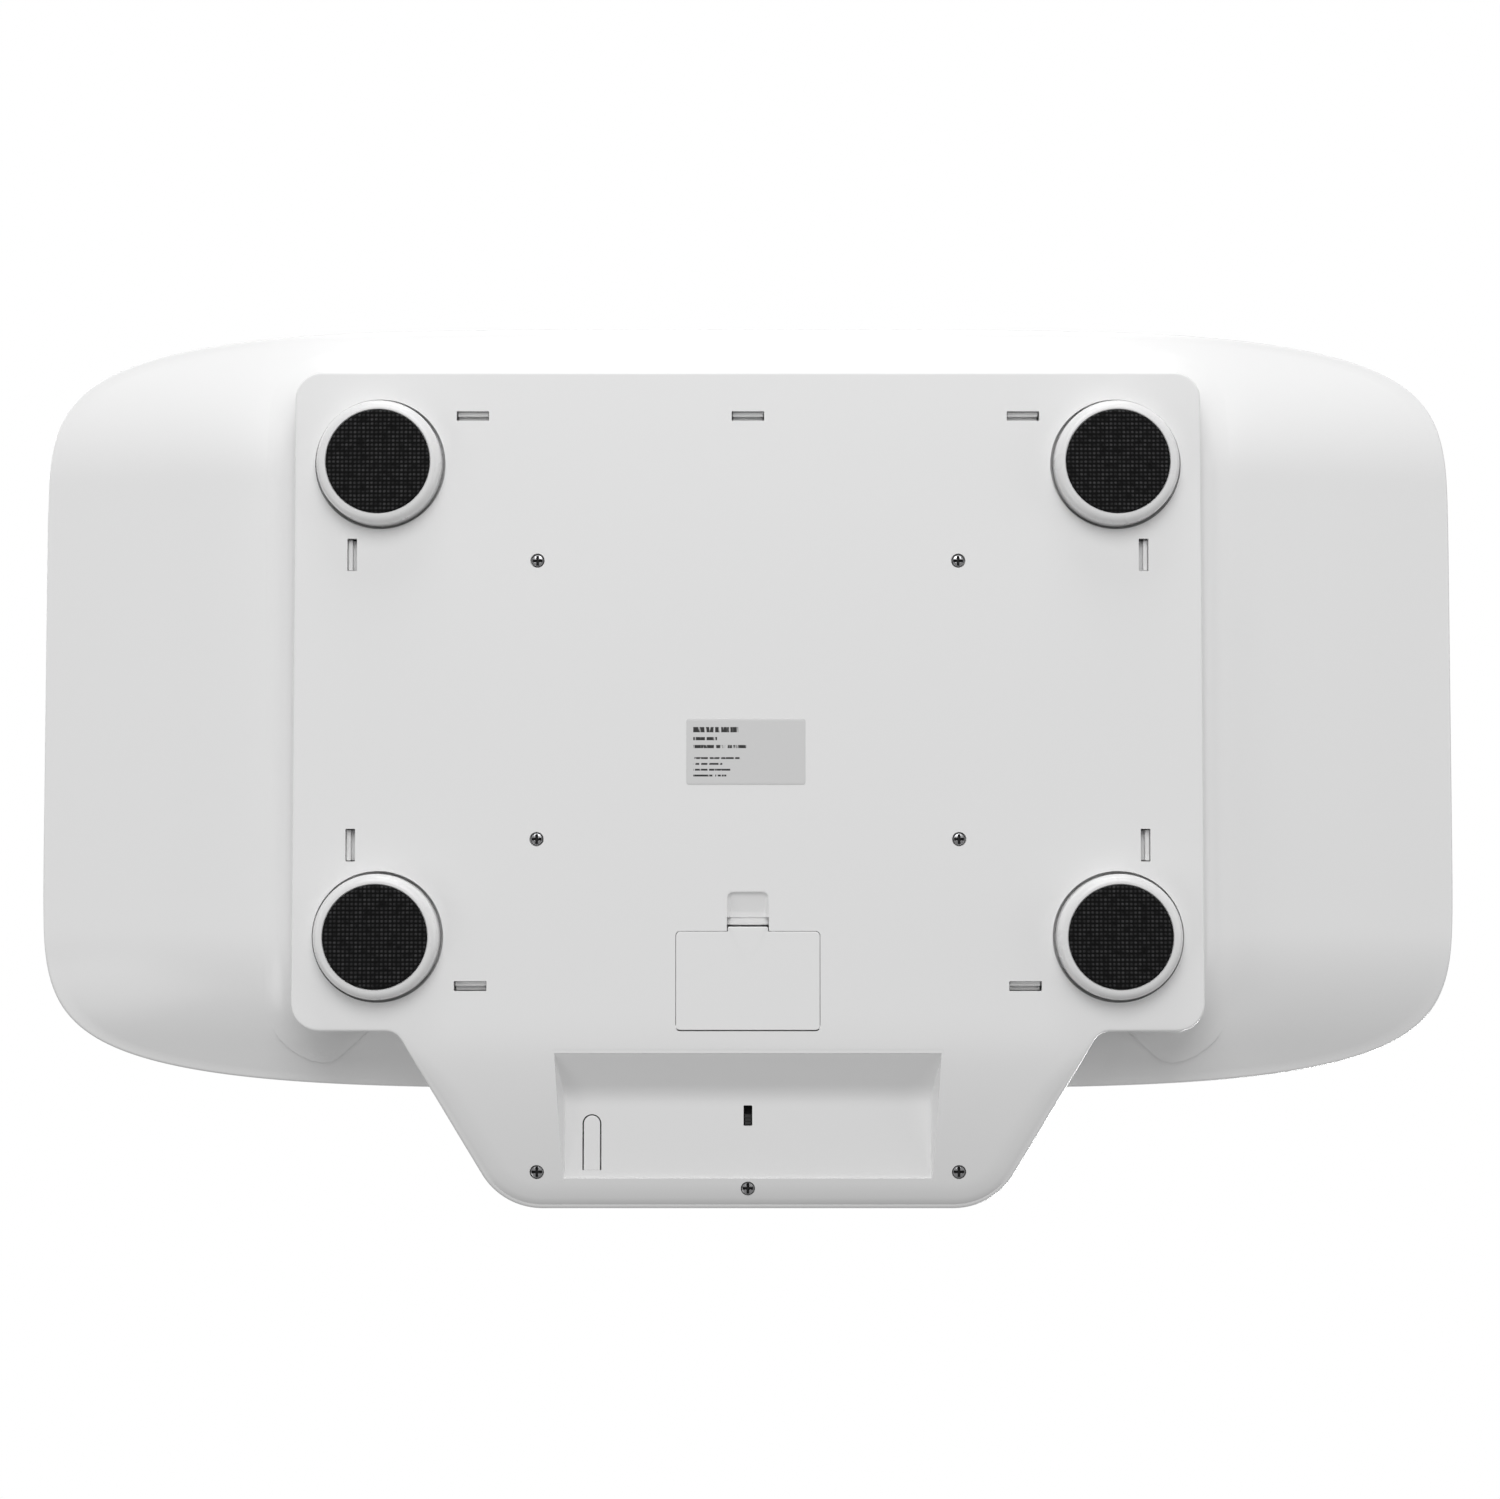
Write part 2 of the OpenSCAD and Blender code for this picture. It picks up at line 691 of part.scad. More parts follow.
// A cross-head screw whose head faces -Z and whose shank runs up from z = 0
module screw(length, hr = head_r, hh = head_h, sr = shank_r) {
    color("silver") difference() {
        union() {
            cylinder_at(hr, 0, hh);
            cylinder_at(sr, hh - eps, hh + length);
        }
        for (a = [0, 90]) rotate([0, 0, a]) block(-hr * 0.6, hr * 0.6, -0.35, 0.35, -1, hh * 0.55);
    }
}

module small_screw(length) { screw(length, small_head_r, small_head_h, small_shank_r); }

module plate_screws() {
    at_base() at_plate_screws() translate([0, 0, plate_z + head_sink]) screw(10);
}

module console_screws() {
    at_base() for (p = console_screw_at) translate([p[0], p[1], under_z(p[1]) + head_sink])
        screw(5.5);
}

module board_screws() {
    at_base() at_deck() at_board_screws() translate([0, 0, main_board_w - board_t - small_head_h])
        small_screw(3.6);
    at_base() for (p = board_post_at) translate([p[0], p[1], board_z + board_t + small_head_h])
        rotate([180, 0, 0]) small_screw(3.6);
}

module holder_screws() {
    at_base() at_feet() at_holder_screws()
        translate([0, 0, deck_z - plate_wall - 3.05 - small_head_h]) small_screw(4.6);
}

module tray_screws() {
    at_base() for (p = tray_screw_at) translate([p[0], p[1], deck_z - plate_wall - 2])
        screw(4, 5.5, 1.95);
}

// A wire: a round tube carried along its points, its ring at each bend set halfway between the
// directions of the two stretches that meet there
module wire(points, r) {
    sides = 8;
    last = len(points) - 1;
    function unit(v) = v / norm(v);
    function step(i) = unit(points[i + 1] - points[i]);
    function heading(i) = i == 0 ? step(0) : i == last ? step(last - 1) : unit(step(i - 1) + step(i));
    pts = [for (i = [0:last], j = [0:sides - 1]) let (d = heading(i), u = unit(cross(d, [0.1, 0.2, 1])),
        w = cross(d, u), a = 360 * j / sides) points[i] + r * (cos(a) * u + sin(a) * w)];
    walls = [for (i = [0:last - 1], j = [0:sides - 1]) let (k = (j + 1) % sides,
        a = i * sides + j, b = i * sides + k, c = (i + 1) * sides + k, d = (i + 1) * sides + j)
        each [[a, c, b], [a, d, c]]];
    caps = [[for (j = [0:sides - 1]) j], [for (j = [sides - 1:-1:0]) last * sides + j]];
    polyhedron(pts, concat(walls, caps));
}

// From each load cell along the base and up to the main board
module cell_wires() {
    start = foot_span_x / 2 - holder_half;
    color("firebrick") at_base() for (sx = [-1, 1], sy = [-1, 1]) {
        lane = sx * (60 + sy * 4);
        z = 21.2 - sy * 1.2;
        wire([[sx * (start - 0.1), sy * 84, z], [sx * 80, sy * 84, z], [lane + sx * 5, sy * 84, z],
            [lane, sy * 84 - 5, z], [lane, -128, z], [lane - sx * 3, -134, z + 2],
            [sx * (26 + sy * 4), -151.5, 33.2]], 0.8);
    }
}

// From the two ends of the battery bay to the main board
module battery_wires() {
    start = door_w / 2 + 1.85;
    color("black") at_base() for (sx = [-1, 1])
        wire([[sx * start, cell_y, 20], [sx * (start + 2), cell_y, 20], [sx * (start + 4), cell_y - 3, 20],
            [sx * (start + 4), -128, 20], [sx * 30, -134, 22], [sx * 17, -151.5, 33.2]], 0.7);
}

module rating_label() {
    color("lightgray") at_base() block(-21.75, 23.25, -32.2, -7.2, plate_z - 0.1, plate_z);
}

// ---------- assembly ----------

weighing_tray();
upper_housing();
base_cover();
battery_door();
battery(0);  // battery_1
battery(1);  // battery_2
battery(2);  // battery_3
battery_springs();
contact_plates();
at_foot(1, -1) foot_cap();  // foot_cap_front_right
at_foot(-1, -1) foot_cap();  // foot_cap_front_left
at_foot(1, 1) foot_cap();  // foot_cap_back_right
at_foot(-1, 1) foot_cap();  // foot_cap_back_left
at_foot(1, -1) foot_pad();  // foot_pad_front_right
at_foot(-1, -1) foot_pad();  // foot_pad_front_left
at_foot(1, 1) foot_pad();  // foot_pad_back_right
at_foot(-1, 1) foot_pad();  // foot_pad_back_left
at_foot(1, -1) load_cell();  // load_cell_front_right
at_foot(-1, -1) load_cell();  // load_cell_front_left
at_foot(1, 1) load_cell();  // load_cell_back_right
at_foot(-1, 1) load_cell();  // load_cell_back_left
at_foot(1, -1) cell_holder();  // cell_holder_front_right
at_foot(-1, -1) cell_holder();  // cell_holder_front_left
at_foot(1, 1) cell_holder();  // cell_holder_back_right
at_foot(-1, 1) cell_holder();  // cell_holder_back_left
main_board();
lcd_glass();
lcd_frame();
display_lens();
contact_strips();
key(-1);  // power_key
key(0);  // tare_key
key(1);  // hold_key
key_switches();
switch_board();
unit_switch_body();
unit_switch_knob();
reset_switch();
press_tongue();
plate_screws();
console_screws();
board_screws();
holder_screws();
tray_screws();
cell_wires();
battery_wires();
rating_label();
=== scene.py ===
"""Looks of a digital baby scale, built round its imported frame. All shapes are worked out in millimetres."""

import math

import bmesh
import bpy
import numpy as np
from mathutils import Matrix, Vector


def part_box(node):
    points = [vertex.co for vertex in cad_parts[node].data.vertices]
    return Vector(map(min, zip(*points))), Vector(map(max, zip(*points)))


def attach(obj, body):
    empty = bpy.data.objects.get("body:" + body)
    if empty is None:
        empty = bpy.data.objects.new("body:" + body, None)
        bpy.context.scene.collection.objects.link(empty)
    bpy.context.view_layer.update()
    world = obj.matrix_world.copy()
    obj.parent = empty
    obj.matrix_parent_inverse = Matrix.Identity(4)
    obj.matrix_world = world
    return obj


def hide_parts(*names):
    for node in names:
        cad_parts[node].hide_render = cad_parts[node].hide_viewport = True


bl_info = {
    "name": "Digital baby scale",
    "version": (1, 0, 0),
    "blender": (4, 5, 0),
    "location": "3D View > Sidebar > Baby scale",
    "description": "Builds the tray, housings, feet, controls and finishes of a digital baby scale",
    "category": "Object",
}

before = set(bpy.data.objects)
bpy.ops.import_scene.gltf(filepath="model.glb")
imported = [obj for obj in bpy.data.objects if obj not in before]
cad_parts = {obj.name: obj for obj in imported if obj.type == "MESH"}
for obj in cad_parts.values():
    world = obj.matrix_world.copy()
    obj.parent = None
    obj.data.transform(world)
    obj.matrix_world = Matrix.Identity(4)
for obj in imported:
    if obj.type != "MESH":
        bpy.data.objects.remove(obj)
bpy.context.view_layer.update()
MM = 0.001


def box_mm(node):
    """Lowest and highest corner of a CAD node, in millimetres."""
    low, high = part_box(node)
    return np.array(low) / MM, np.array(high) / MM


def middle_mm(node):
    low, high = box_mm(node)
    return (low + high) / 2


# ---------- places, from the frame ----------

COVER_LOW, COVER_HIGH = box_mm("base_cover")
TRAY_LOW, TRAY_HIGH = box_mm("weighing_tray")
TRAY_MIDDLE = (TRAY_LOW + TRAY_HIGH) / 2
BASE_HALF = np.array([COVER_HIGH[0], 125.0])
BASE_Y = COVER_HIGH[1] - BASE_HALF[1]
PLATE_Z = box_mm("battery_door")[0][2]
NOSE_Y = COVER_LOW[1] - BASE_Y
CORNERS = ("front_right", "front_left", "back_right", "back_left")

# ---------- shape of the mouldings, as in the frame, in the base's own y ----------

TRAY_HALF = (TRAY_HIGH - TRAY_LOW)[:2] / 2
TRAY_WALL = 2.8
TRAY_TIP = 60.0
OUTLINE_POWERS = (4.0, 9.5)
DECK_Z = 29.0
RIM_RISE, RIM_START, RIM_STRAIGHT = 20.0, 88.0, 130.0
END_RISE, END_START = 18.5, 150.0
BASE_CORNER = 10.5
CONSOLE_ROOT_X, CONSOLE_NOSE_X, CONSOLE_CORNER, CONSOLE_FILLET = 132.2, 93.5, 26.0, 7.0
WALL, PLATE_WALL = 2.2, 2.5
SLOPE, SLOPE_START, SLOPE_BLEND, SLOPE_SWEEP = 0.243, -127.0, 9.0, 0.4
PART_Z, PART_RISE = PLATE_Z + 8.0, 3.2
DECK_BACK_Y, DECK_BACK_Z, DECK_TILT = -150.0, 43.0, math.radians(16)
FLUSH = 0.02
OUTLINE_POINTS = 600
FAN_BAND = 0.12

SLOTS = [(x, y, 0) for x in (-104.5, 0, 104.5) for y in (108,)] + [
    (x, -108, 0) for x in (-104.5, 104.5)] + [(x, y, 1) for x in (-150, 150) for y in (-55, 55)]
SLOT_SIZE = (12.3, 3.7)
HOOK_HALF, LEAF_Z, CATCH_Z = 5.8, 11.4, 13.2
PLATE_SCREWS = [(x, y) for x in (-79.7, 79.7) for y in (-52.75, 52.75)]
CONSOLE_SCREWS = [(-80, -178.6), (80, -178.6), (0, -185)]
HEAD_R, HEAD_HOLE_R, HEAD_SINK = 2.5, 2.7, 0.6
FOOT_HOLE_R = 24.75
DOOR_SIZE, DOOR_CORNER, DOOR_GAP, DOOR_FRONT_GAP = (54.2, 37.0), 1.7, 0.16, 0.42
DOOR_Y = (-124.5, -87.5)
TAB_W, TAB_BACK, LATCH_BACK, SCOOP_BACK, SCOOP_W = 15.1, -85.7, -82.15, -72.5, 15.7
RECESS_FLOOR, RECESS_HALF, RECESS_DRAFT = 22.0, 69.6, 0.3
RECESS_BACK_FOOT, RECESS_BACK_SLOPE, RECESS_FRONT = (-134.7, 10.9), 0.75, -180.5
SWITCH_Y = -157.4
TONGUE_X, TONGUE_W, TONGUE_ROOT, TONGUE_END = 59.2, 6.2, -178.0, -157.4
FEET = (139.5, 89.5)
CAP_R, PAD_SEAT_R, PAD_R = 23.6, 19.75, 19.6
LENS, LENS_V = (64.4, 20.9), -12.6
KEY, KEY_V, KEY_PITCH = (17.0, 5.6), -28.0, 24.0
LABEL = (-21.75, 23.25, -32.2, -7.2)

# ---------- looks that the frame leaves plain ----------

CONSOLE_EDGE = 2.5
EDGE_R, CONSOLE_EDGE_R = 1.0, 1.6
CROWN_WIDTH = 9.0

# ---------- stage, in metres and watts ----------

CAMERA_AIM, CAMERA_DISTANCE, CAMERA_LEAN = (-0.0008, 0.0031, 0.009), 1.1015, math.radians(2.9)
SURROUND = 0.30
FLOOR_R, FLOOR_FADE = 1600.0, 700.0
LIGHTS = (
    ("key_below", (0, 1.5, -2.0), 1.6, 34.0),
    ("low_key", (0, 2.0, -0.17), 1.0, 17.0),
    ("side_right", (2.0, 0.1, -0.55), 1.2, 3.5),
    ("side_left", (-2.0, 0.1, -0.55), 1.2, 6.0),
    ("left_front", (1.1, -0.7, -0.9), 0.6, 2.2),
    ("top_key", (-1.2, -1.3, 1.5), 1.0, 34.0),
    ("top_fill", (1.4, 0.8, 1.2), 1.4, 12.0),
)


# ---------- outlines and surfaces ----------


def arc(centre, radius, start, end, count):
    """Points on a circle from one angle to another, in degrees, without the last."""
    a = np.radians(np.linspace(start, end, count, endpoint=False))
    return np.stack([centre[0] + radius * np.cos(a), centre[1] + radius * np.sin(a)], 1)


def resample(loop, count):
    """A closed loop's points, set out again at equal steps along its length."""
    closed = np.vstack([loop, loop[:1]])
    along = np.concatenate([[0], np.cumsum(np.linalg.norm(np.diff(closed, axis=0), axis=1))])
    at = np.linspace(0, along[-1], count, endpoint=False)
    return np.stack([np.interp(at, along, closed[:, k]) for k in (0, 1)], 1)


def outward(loop):
    """Unit normals of an anticlockwise loop: the chord between neighbours, turned by a right angle."""
    chord = np.roll(loop, -1, 0) - np.roll(loop, 1, 0)
    side = np.stack([chord[:, 1], -chord[:, 0]], 1)
    return side / np.linalg.norm(side, axis=1, keepdims=True)


def rounded_box(width, depth, radius, per_corner=8, centre=(0, 0)):
    """An anticlockwise rectangle whose corners are quarter circles."""
    dx, dy = width / 2 - radius, depth / 2 - radius
    spots = [(dx, -dy, -90), (dx, dy, 0), (-dx, dy, 90), (-dx, -dy, 180)]
    step = 90 / per_corner
    parts = [arc((centre[0] + x, centre[1] + y), radius, a, a + 90 + step, per_corner + 1)
             for x, y, a in spots]
    return np.vstack(parts)


def circle(radius, count=96, centre=(0, 0)):
    return arc(centre, radius, 0, 360, count)


def superellipse(half, powers, tip, count):
    """|x/a|^m + |y/b|^n = 1, with a short straight length at the two y ends."""
    y = np.sin(np.linspace(-np.pi / 2, np.pi / 2, 1600)) * half[1]
    x = half[0] * np.clip(1 - np.abs(y / half[1]) ** powers[1], 0, None) ** (1 / powers[0])
    x = np.maximum(x, tip)
    return resample(np.vstack([np.stack([x, y], 1), np.stack([-x, y], 1)[::-1]]), count)


def base_outline(count=OUTLINE_POINTS):
    """The base with its console: a rounded rectangle, and a trapezoid in front with round corners and
    small hollow fillets where it meets the rectangle. The right half is mirrored to the left."""
    root = np.array([CONSOLE_ROOT_X, -BASE_HALF[1]])
    slant = np.array([CONSOLE_NOSE_X, NOSE_Y]) - root
    side = np.array([-slant[1], slant[0]]) / np.linalg.norm(slant)
    turn = math.degrees(math.atan2(side[1], side[0]))

    def centre_x(y, distance):
        return root[0] + (distance - side[1] * (y - root[1])) / side[0]

    nose_y = NOSE_Y + CONSOLE_CORNER
    hollow_y = root[1] - CONSOLE_FILLET
    dx, dy = BASE_HALF - BASE_CORNER
    right = np.vstack([
        [[0, NOSE_Y]],
        arc((centre_x(nose_y, -CONSOLE_CORNER), nose_y), CONSOLE_CORNER, -90, turn, 24),
        arc((centre_x(hollow_y, CONSOLE_FILLET), hollow_y), CONSOLE_FILLET, 180 + turn, 90, 12),
        arc((dx, -dy), BASE_CORNER, -90, 0, 16),
        arc((dx, dy), BASE_CORNER, 0, 90, 16),
        [[dx, BASE_HALF[1]]],
    ])
    left = right[:0:-1] * [-1, 1]
    return resample(np.vstack([right, left]), count)


def inside_rounded_box(x, y, half_x, half_y, radius):
    """How far a point lies inside a rounded rectangle: negative outside it."""
    qx, qy = np.abs(x) - half_x + radius, np.abs(y) - half_y + radius
    out = np.hypot(np.maximum(qx, 0), np.maximum(qy, 0)) + np.minimum(np.maximum(qx, qy), 0)
    return radius - out


def smooth_min(a, b, width):
    """The lower of two heights, rounded over where they are within width of each other."""
    near = np.maximum(width - np.abs(a - b), 0) / width
    return np.minimum(a, b) - near ** 2 * width / 4


def smooth_max(a, b, width):
    return -smooth_min(-a, -b, width)


def ease(x, low, high):
    """0 below low and 1 above high, with a smooth rise between them."""
    t = np.clip((x - low) / (high - low), 0, 1)
    return t * t * (3 - 2 * t)


def row(loop, z):
    """A loop at a height, or at a height for each of its points."""
    return np.column_stack([loop, np.broadcast_to(z, len(loop))])


def carried(loop, profile):
    """Rows of a profile carried round a loop: each step is (distance outwards, height)."""
    n = outward(loop)
    return [row(loop + n * d, z) for d, z in profile]


def towards(ring, centre, fractions, height):
    """Rows that shrink a ring towards a point, each at the height that height(x, y) gives."""
    rows = []
    for f in fractions:
        xy = centre + (ring[:, :2] - centre) * f
        rows.append(row(xy, height(xy[:, 0], xy[:, 1])))
    return rows


def row_in(ring):
    """A row a little inside another one, on the way to its middle."""
    return ring + (ring.mean(0) - ring) * FAN_BAND


def closed_skin(rows):
    """A closed surface: rows of equal length joined by quads, with a fan at each end. A narrow level
    band inside the first and last row keeps a rounded edge's shading out of a flat fan."""
    ends = [row_in(rows[0]), *rows, row_in(rows[-1])]
    pts = np.stack(ends)
    k, n, _ = pts.shape
    i, j = np.meshgrid(np.arange(k - 1), np.arange(n), indexing="ij")
    nxt = (j + 1) % n
    quads = np.stack([i * n + j, i * n + nxt, (i + 1) * n + nxt, (i + 1) * n + j], -1).reshape(-1, 4)
    verts = np.vstack([pts.reshape(-1, 3), pts[0].mean(0), pts[-1].mean(0)])
    ring = np.arange(n)
    first = np.stack([np.roll(ring, -1), ring, np.full(n, k * n)], 1)
    last = np.stack([(k - 1) * n + ring, (k - 1) * n + np.roll(ring, -1), np.full(n, k * n + 1)], 1)
    return verts, quads.tolist() + first.tolist() + last.tolist()


def slab(x, y, low, high):
    """A closed sheet between two heights on a grid of x and y lines."""
    gx, gy = np.meshgrid(x, y, indexing="ij")
    nx, ny = gx.shape
    verts = np.vstack([np.stack([gx, gy, f(gx, gy)], -1).reshape(-1, 3) for f in (low, high)])
    i, j = np.meshgrid(np.arange(nx - 1), np.arange(ny - 1), indexing="ij")
    cell = np.stack([i * ny + j, (i + 1) * ny + j, (i + 1) * ny + j + 1, i * ny + j + 1], -1).reshape(-1, 4)
    ids = np.arange(nx * ny).reshape(nx, ny)
    rim = np.concatenate([ids[:, 0], ids[-1, 1:], ids[-2::-1, -1], ids[0, -2:0:-1]])
    nxt = np.roll(rim, -1)
    up = nx * ny
    walls = np.stack([rim, nxt, nxt + up, rim + up], 1)
    return verts, cell.tolist() + (cell + up)[:, ::-1].tolist() + walls.tolist()


def block(low, high, bevel=0.15):
    """A box with rounded upright edges and small bevels round its two ends."""
    low, high = np.array(low, float), np.array(high, float)
    size = high - low
    radius = min(bevel, size[0] / 2.01, size[1] / 2.01)
    loop = rounded_box(size[0], size[1], radius, 3, (low + high)[:2] / 2)
    return closed_skin(carried(loop, [
        (-bevel, low[2]), (0, low[2] + bevel), (0, high[2] - bevel), (-bevel, high[2])]))


def combine(parts):
    """Several (vertices, faces) surfaces as one."""
    verts, faces, start = [], [], 0
    for v, f in parts:
        verts.append(v)
        faces += [[k + start for k in face] for face in f]
        start += len(v)
    return np.vstack(verts), faces


def piece(name, surface, shift=(0, 0, 0)):
    """An object from a surface in millimetres, its faces turned outwards and its sharp edges kept."""
    verts, faces = surface
    mesh = bpy.data.meshes.new(name)
    mesh.from_pydata(((verts + np.array(shift)) * MM).tolist(), [], faces)
    work = bmesh.new()
    work.from_mesh(mesh)
    bmesh.ops.remove_doubles(work, verts=work.verts, dist=1e-7)
    bmesh.ops.dissolve_degenerate(work, dist=1e-7, edges=work.edges)
    bmesh.ops.recalc_face_normals(work, faces=work.faces)
    work.to_mesh(mesh)
    work.free()
    obj = bpy.data.objects.new(name, mesh)
    bpy.context.scene.collection.objects.link(obj)
    return shaded(obj)


def shaded(obj, angle=32):
    obj.data.shade_smooth()
    obj.data.set_sharp_from_angle(angle=math.radians(angle))
    return obj


def carve(obj, cutters, shift=(0, 0, 0)):
    """Takes closed cutters, in millimetres, out of a closed piece."""
    tool = piece("cutter", combine(cutters), shift)
    cut = obj.modifiers.new("cut", "BOOLEAN")
    cut.operation, cut.solver, cut.object = "DIFFERENCE", "EXACT", tool
    made = bpy.data.meshes.new_from_object(obj.evaluated_get(bpy.context.evaluated_depsgraph_get()))
    made.name = obj.name
    obj.modifiers.clear()
    obj.data = made
    bpy.data.objects.remove(tool)
    return shaded(obj)


def join(obj, others):
    """Adds other pieces' meshes to a piece, as separate closed shells of the same object."""
    work = bmesh.new()
    for part in (obj, *others):
        work.from_mesh(part.data)
    work.to_mesh(obj.data)
    work.free()
    for part in others:
        bpy.data.objects.remove(part)
    return shaded(obj)


def stand_for(obj, body, *nodes):
    """The piece rides on a body and is shown in place of these CAD nodes."""
    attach(obj, body)
    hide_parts(*nodes)
    return obj


def at_base(name, surface):
    return piece(name, surface, (0, BASE_Y, 0))


# ---------- heights ----------


def rim_lift(y):
    """Rise of the tray at y: a parabola from RIM_START, straight past RIM_STRAIGHT."""
    span = RIM_STRAIGHT - RIM_START

    def curve(a):
        return np.where(a < RIM_START, 0, np.where(
            a < RIM_STRAIGHT, (a - RIM_START) ** 2 / (2 * span), span / 2 + a - RIM_STRAIGHT))

    return RIM_RISE * curve(np.abs(y)) / curve(TRAY_HALF[1])


def tray_under(x, y):
    """Underside of the tray: flat in the middle, rising to its rims and, further out, to its ends."""
    ends = np.maximum(0, (np.abs(x) - END_START) / (TRAY_HALF[0] - END_START)) ** 2
    return DECK_Z + rim_lift(y) + END_RISE * ends


def under_z(y):
    """Underside of the base: level, then rising ever more steeply to the console's nose."""
    run = smooth_max(SLOPE_START - y, 0 * y, SLOPE_BLEND)
    return PLATE_Z + SLOPE * run * (run / (SLOPE_START - NOSE_Y)) ** SLOPE_SWEEP


def part_line(y):
    """Height of the line where the two housings meet."""
    return np.maximum(PART_Z, PLATE_Z + SLOPE * (SLOPE_START - y) + PART_RISE)


def housing_top(x, y):
    """Top of the upper housing: against the tray's underside, then the sloping display deck."""
    beneath = tray_under(x, y) - FLUSH
    deck = DECK_BACK_Z + (y - DECK_BACK_Y) * math.tan(DECK_TILT)
    console = smooth_min(smooth_min(beneath - 0.4, deck, 1.5), DECK_BACK_Z + 0.3 + 0 * y, 1.0)
    return np.where(y > -BASE_HALF[1] - 2, beneath, console)


OUTLINE = base_outline()
IN_CONSOLE = ease(-OUTLINE[:, 1], -SLOPE_START, -SLOPE_START + 30)
TRAY_LEVELS = np.linspace(1, 0.02, 60)
LEVELS = np.linspace(1, 0.02, 40)
FEW_LEVELS = np.linspace(1, 0.02, 14)


# ---------- finishes ----------


class Value:
    """A shader socket that can stand in a sum: each operator adds the Math node that it means."""

    def __init__(self, finish, socket):
        self.finish, self.socket = finish, socket

    def math(self, operation, *others):
        inputs = dict(enumerate(others))
        return self.finish.node("ShaderNodeMath", {"operation": operation}, inputs)["Value"]

    def __add__(self, other):
        return self.math("ADD", self, other)

    def __sub__(self, other):
        return self.math("SUBTRACT", self, other)

    def __rsub__(self, other):
        return self.math("SUBTRACT", other, self)

    def __mul__(self, other):
        return self.math("MULTIPLY", self, other)

    def __truediv__(self, other):
        return self.math("DIVIDE", self, other)

    __radd__, __rmul__ = __add__, __mul__

    def sine(self):
        return self.math("SINE", self)

    def size(self):
        return self.math("ABSOLUTE", self)

    def above(self, edge, softness):
        """0 below the edge and 1 above it."""
        return self.finish.node("ShaderNodeMapRange", {"interpolation_type": "SMOOTHSTEP"}, {
            "Value": self, "From Min": edge - softness, "From Max": edge + softness})["Result"]


class Finish:
    """One material: a Principled shader, and the nodes that vary over its surface."""

    def __init__(self, name, color, roughness, **constants):
        self.material = bpy.data.materials.new(name)
        self.material.use_nodes = True
        self.tree = self.material.node_tree
        self.shader = self.tree.nodes["Principled BSDF"]
        self.color = (*color[:3], 1)
        self.set("Base Color", self.color)
        self.set("Roughness", roughness)
        for label, value in constants.items():
            self.set(label.replace("_", " ").title().replace("Ior", "IOR"), value)

    def set(self, label, value):
        self.feed(self.shader.inputs[label], value)
        return self

    def feed(self, socket, value):
        if isinstance(value, Value):
            self.tree.links.new(value.socket, socket)
        else:
            socket.default_value = value

    def node(self, kind, settings, inputs):
        """Adds a node, sets it up, feeds its inputs and gives its outputs by name."""
        made = self.tree.nodes.new(kind)
        for key, value in settings.items():
            setattr(made, key, value)
        for label, value in inputs.items():
            self.feed(made.inputs[label], value)
        return {out.name: Value(self, out) for out in made.outputs if out.enabled}

    def place(self):
        """The surface point, in metres, in the object's own frame."""
        return self.node("ShaderNodeTexCoord", {}, {})["Object"]

    def axes(self):
        split = self.node("ShaderNodeSeparateXYZ", {}, {"Vector": self.place()})
        return split["X"], split["Y"], split["Z"]

    def noise(self, size_mm, detail=2.0, stretch=None):
        """Soft noise from 0 to 1, with features of about this size."""
        place = self.place()
        if stretch:
            place = self.node("ShaderNodeVectorMath", {"operation": "MULTIPLY"},
                              {0: place, 1: stretch})["Vector"]
        return self.node("ShaderNodeTexNoise", {}, {
            "Vector": place, "Scale": 1 / (size_mm * MM), "Detail": detail})["Fac"]

    def blend(self, amount, a, b):
        """Colour a where amount is 0 and colour b where it is 1."""
        made = self.tree.nodes.new("ShaderNodeMix")
        made.data_type = "RGBA"
        self.feed(made.inputs["Factor"], amount)
        for socket, color in zip([s for s in made.inputs if s.type == "RGBA"], (a, b)):
            self.feed(socket, color if isinstance(color, Value) else (*color[:3], 1))
        return Value(self, next(s for s in made.outputs if s.type == "RGBA"))

    def bump(self, height, depth_mm, strength=1.0):
        made = self.node("ShaderNodeBump", {}, {
            "Height": height, "Distance": depth_mm * MM, "Strength": strength})
        return self.set("Normal", made["Normal"])


def shade_of(color, factor):
    return tuple(min(1.0, c * factor) for c in color[:3])


def moulded(name, color, roughness=0.36, grain_mm=0.5, grain=0.004, coat=0.0):
    """Moulded plastic: fine spark-eroded grain, a faint drift of tone and small changes of gloss."""
    f = Finish(name, color, roughness, coat_weight=coat, coat_roughness=0.18)
    drift = f.noise(60, 3)
    fine = f.noise(grain_mm, 3)
    f.set("Base Color", f.blend(drift, shade_of(color, 0.985), shade_of(color, 1.01)))
    f.set("Roughness", roughness - 0.04 + 0.08 * f.noise(9, 4))
    return f.bump(fine, grain).material


def knitted_rubber(name, color, pitch_mm):
    """Black non-slip pad: rows of small raised knots; in random patches the knots are shinier and carry a
    painted glint, and all else is painted darker as shade.
    """
    f = Finish(name, color, 0.8, specular_ior_level=0.16)
    x, y, _ = f.axes()
    turn = math.pi / (pitch_mm * MM)
    knots = ((x * turn).sine() * (y * turn).sine()).size()
    glint_patches = f.noise(3.0, 3)
    raised = knots.above(0.55, 0.35) * (glint_patches * 2).above(0.95, 0.5)
    # painted glint on the knots in the patches, painted shade on all the rest
    f.set("Base Color", f.blend(raised, shade_of(color, 0.4), shade_of(color, 4.5)))
    f.set("Roughness", 0.85 - 0.35 * raised)
    return f.bump(knots * 0.6 + f.noise(0.25, 3) * 0.3, 0.1).material


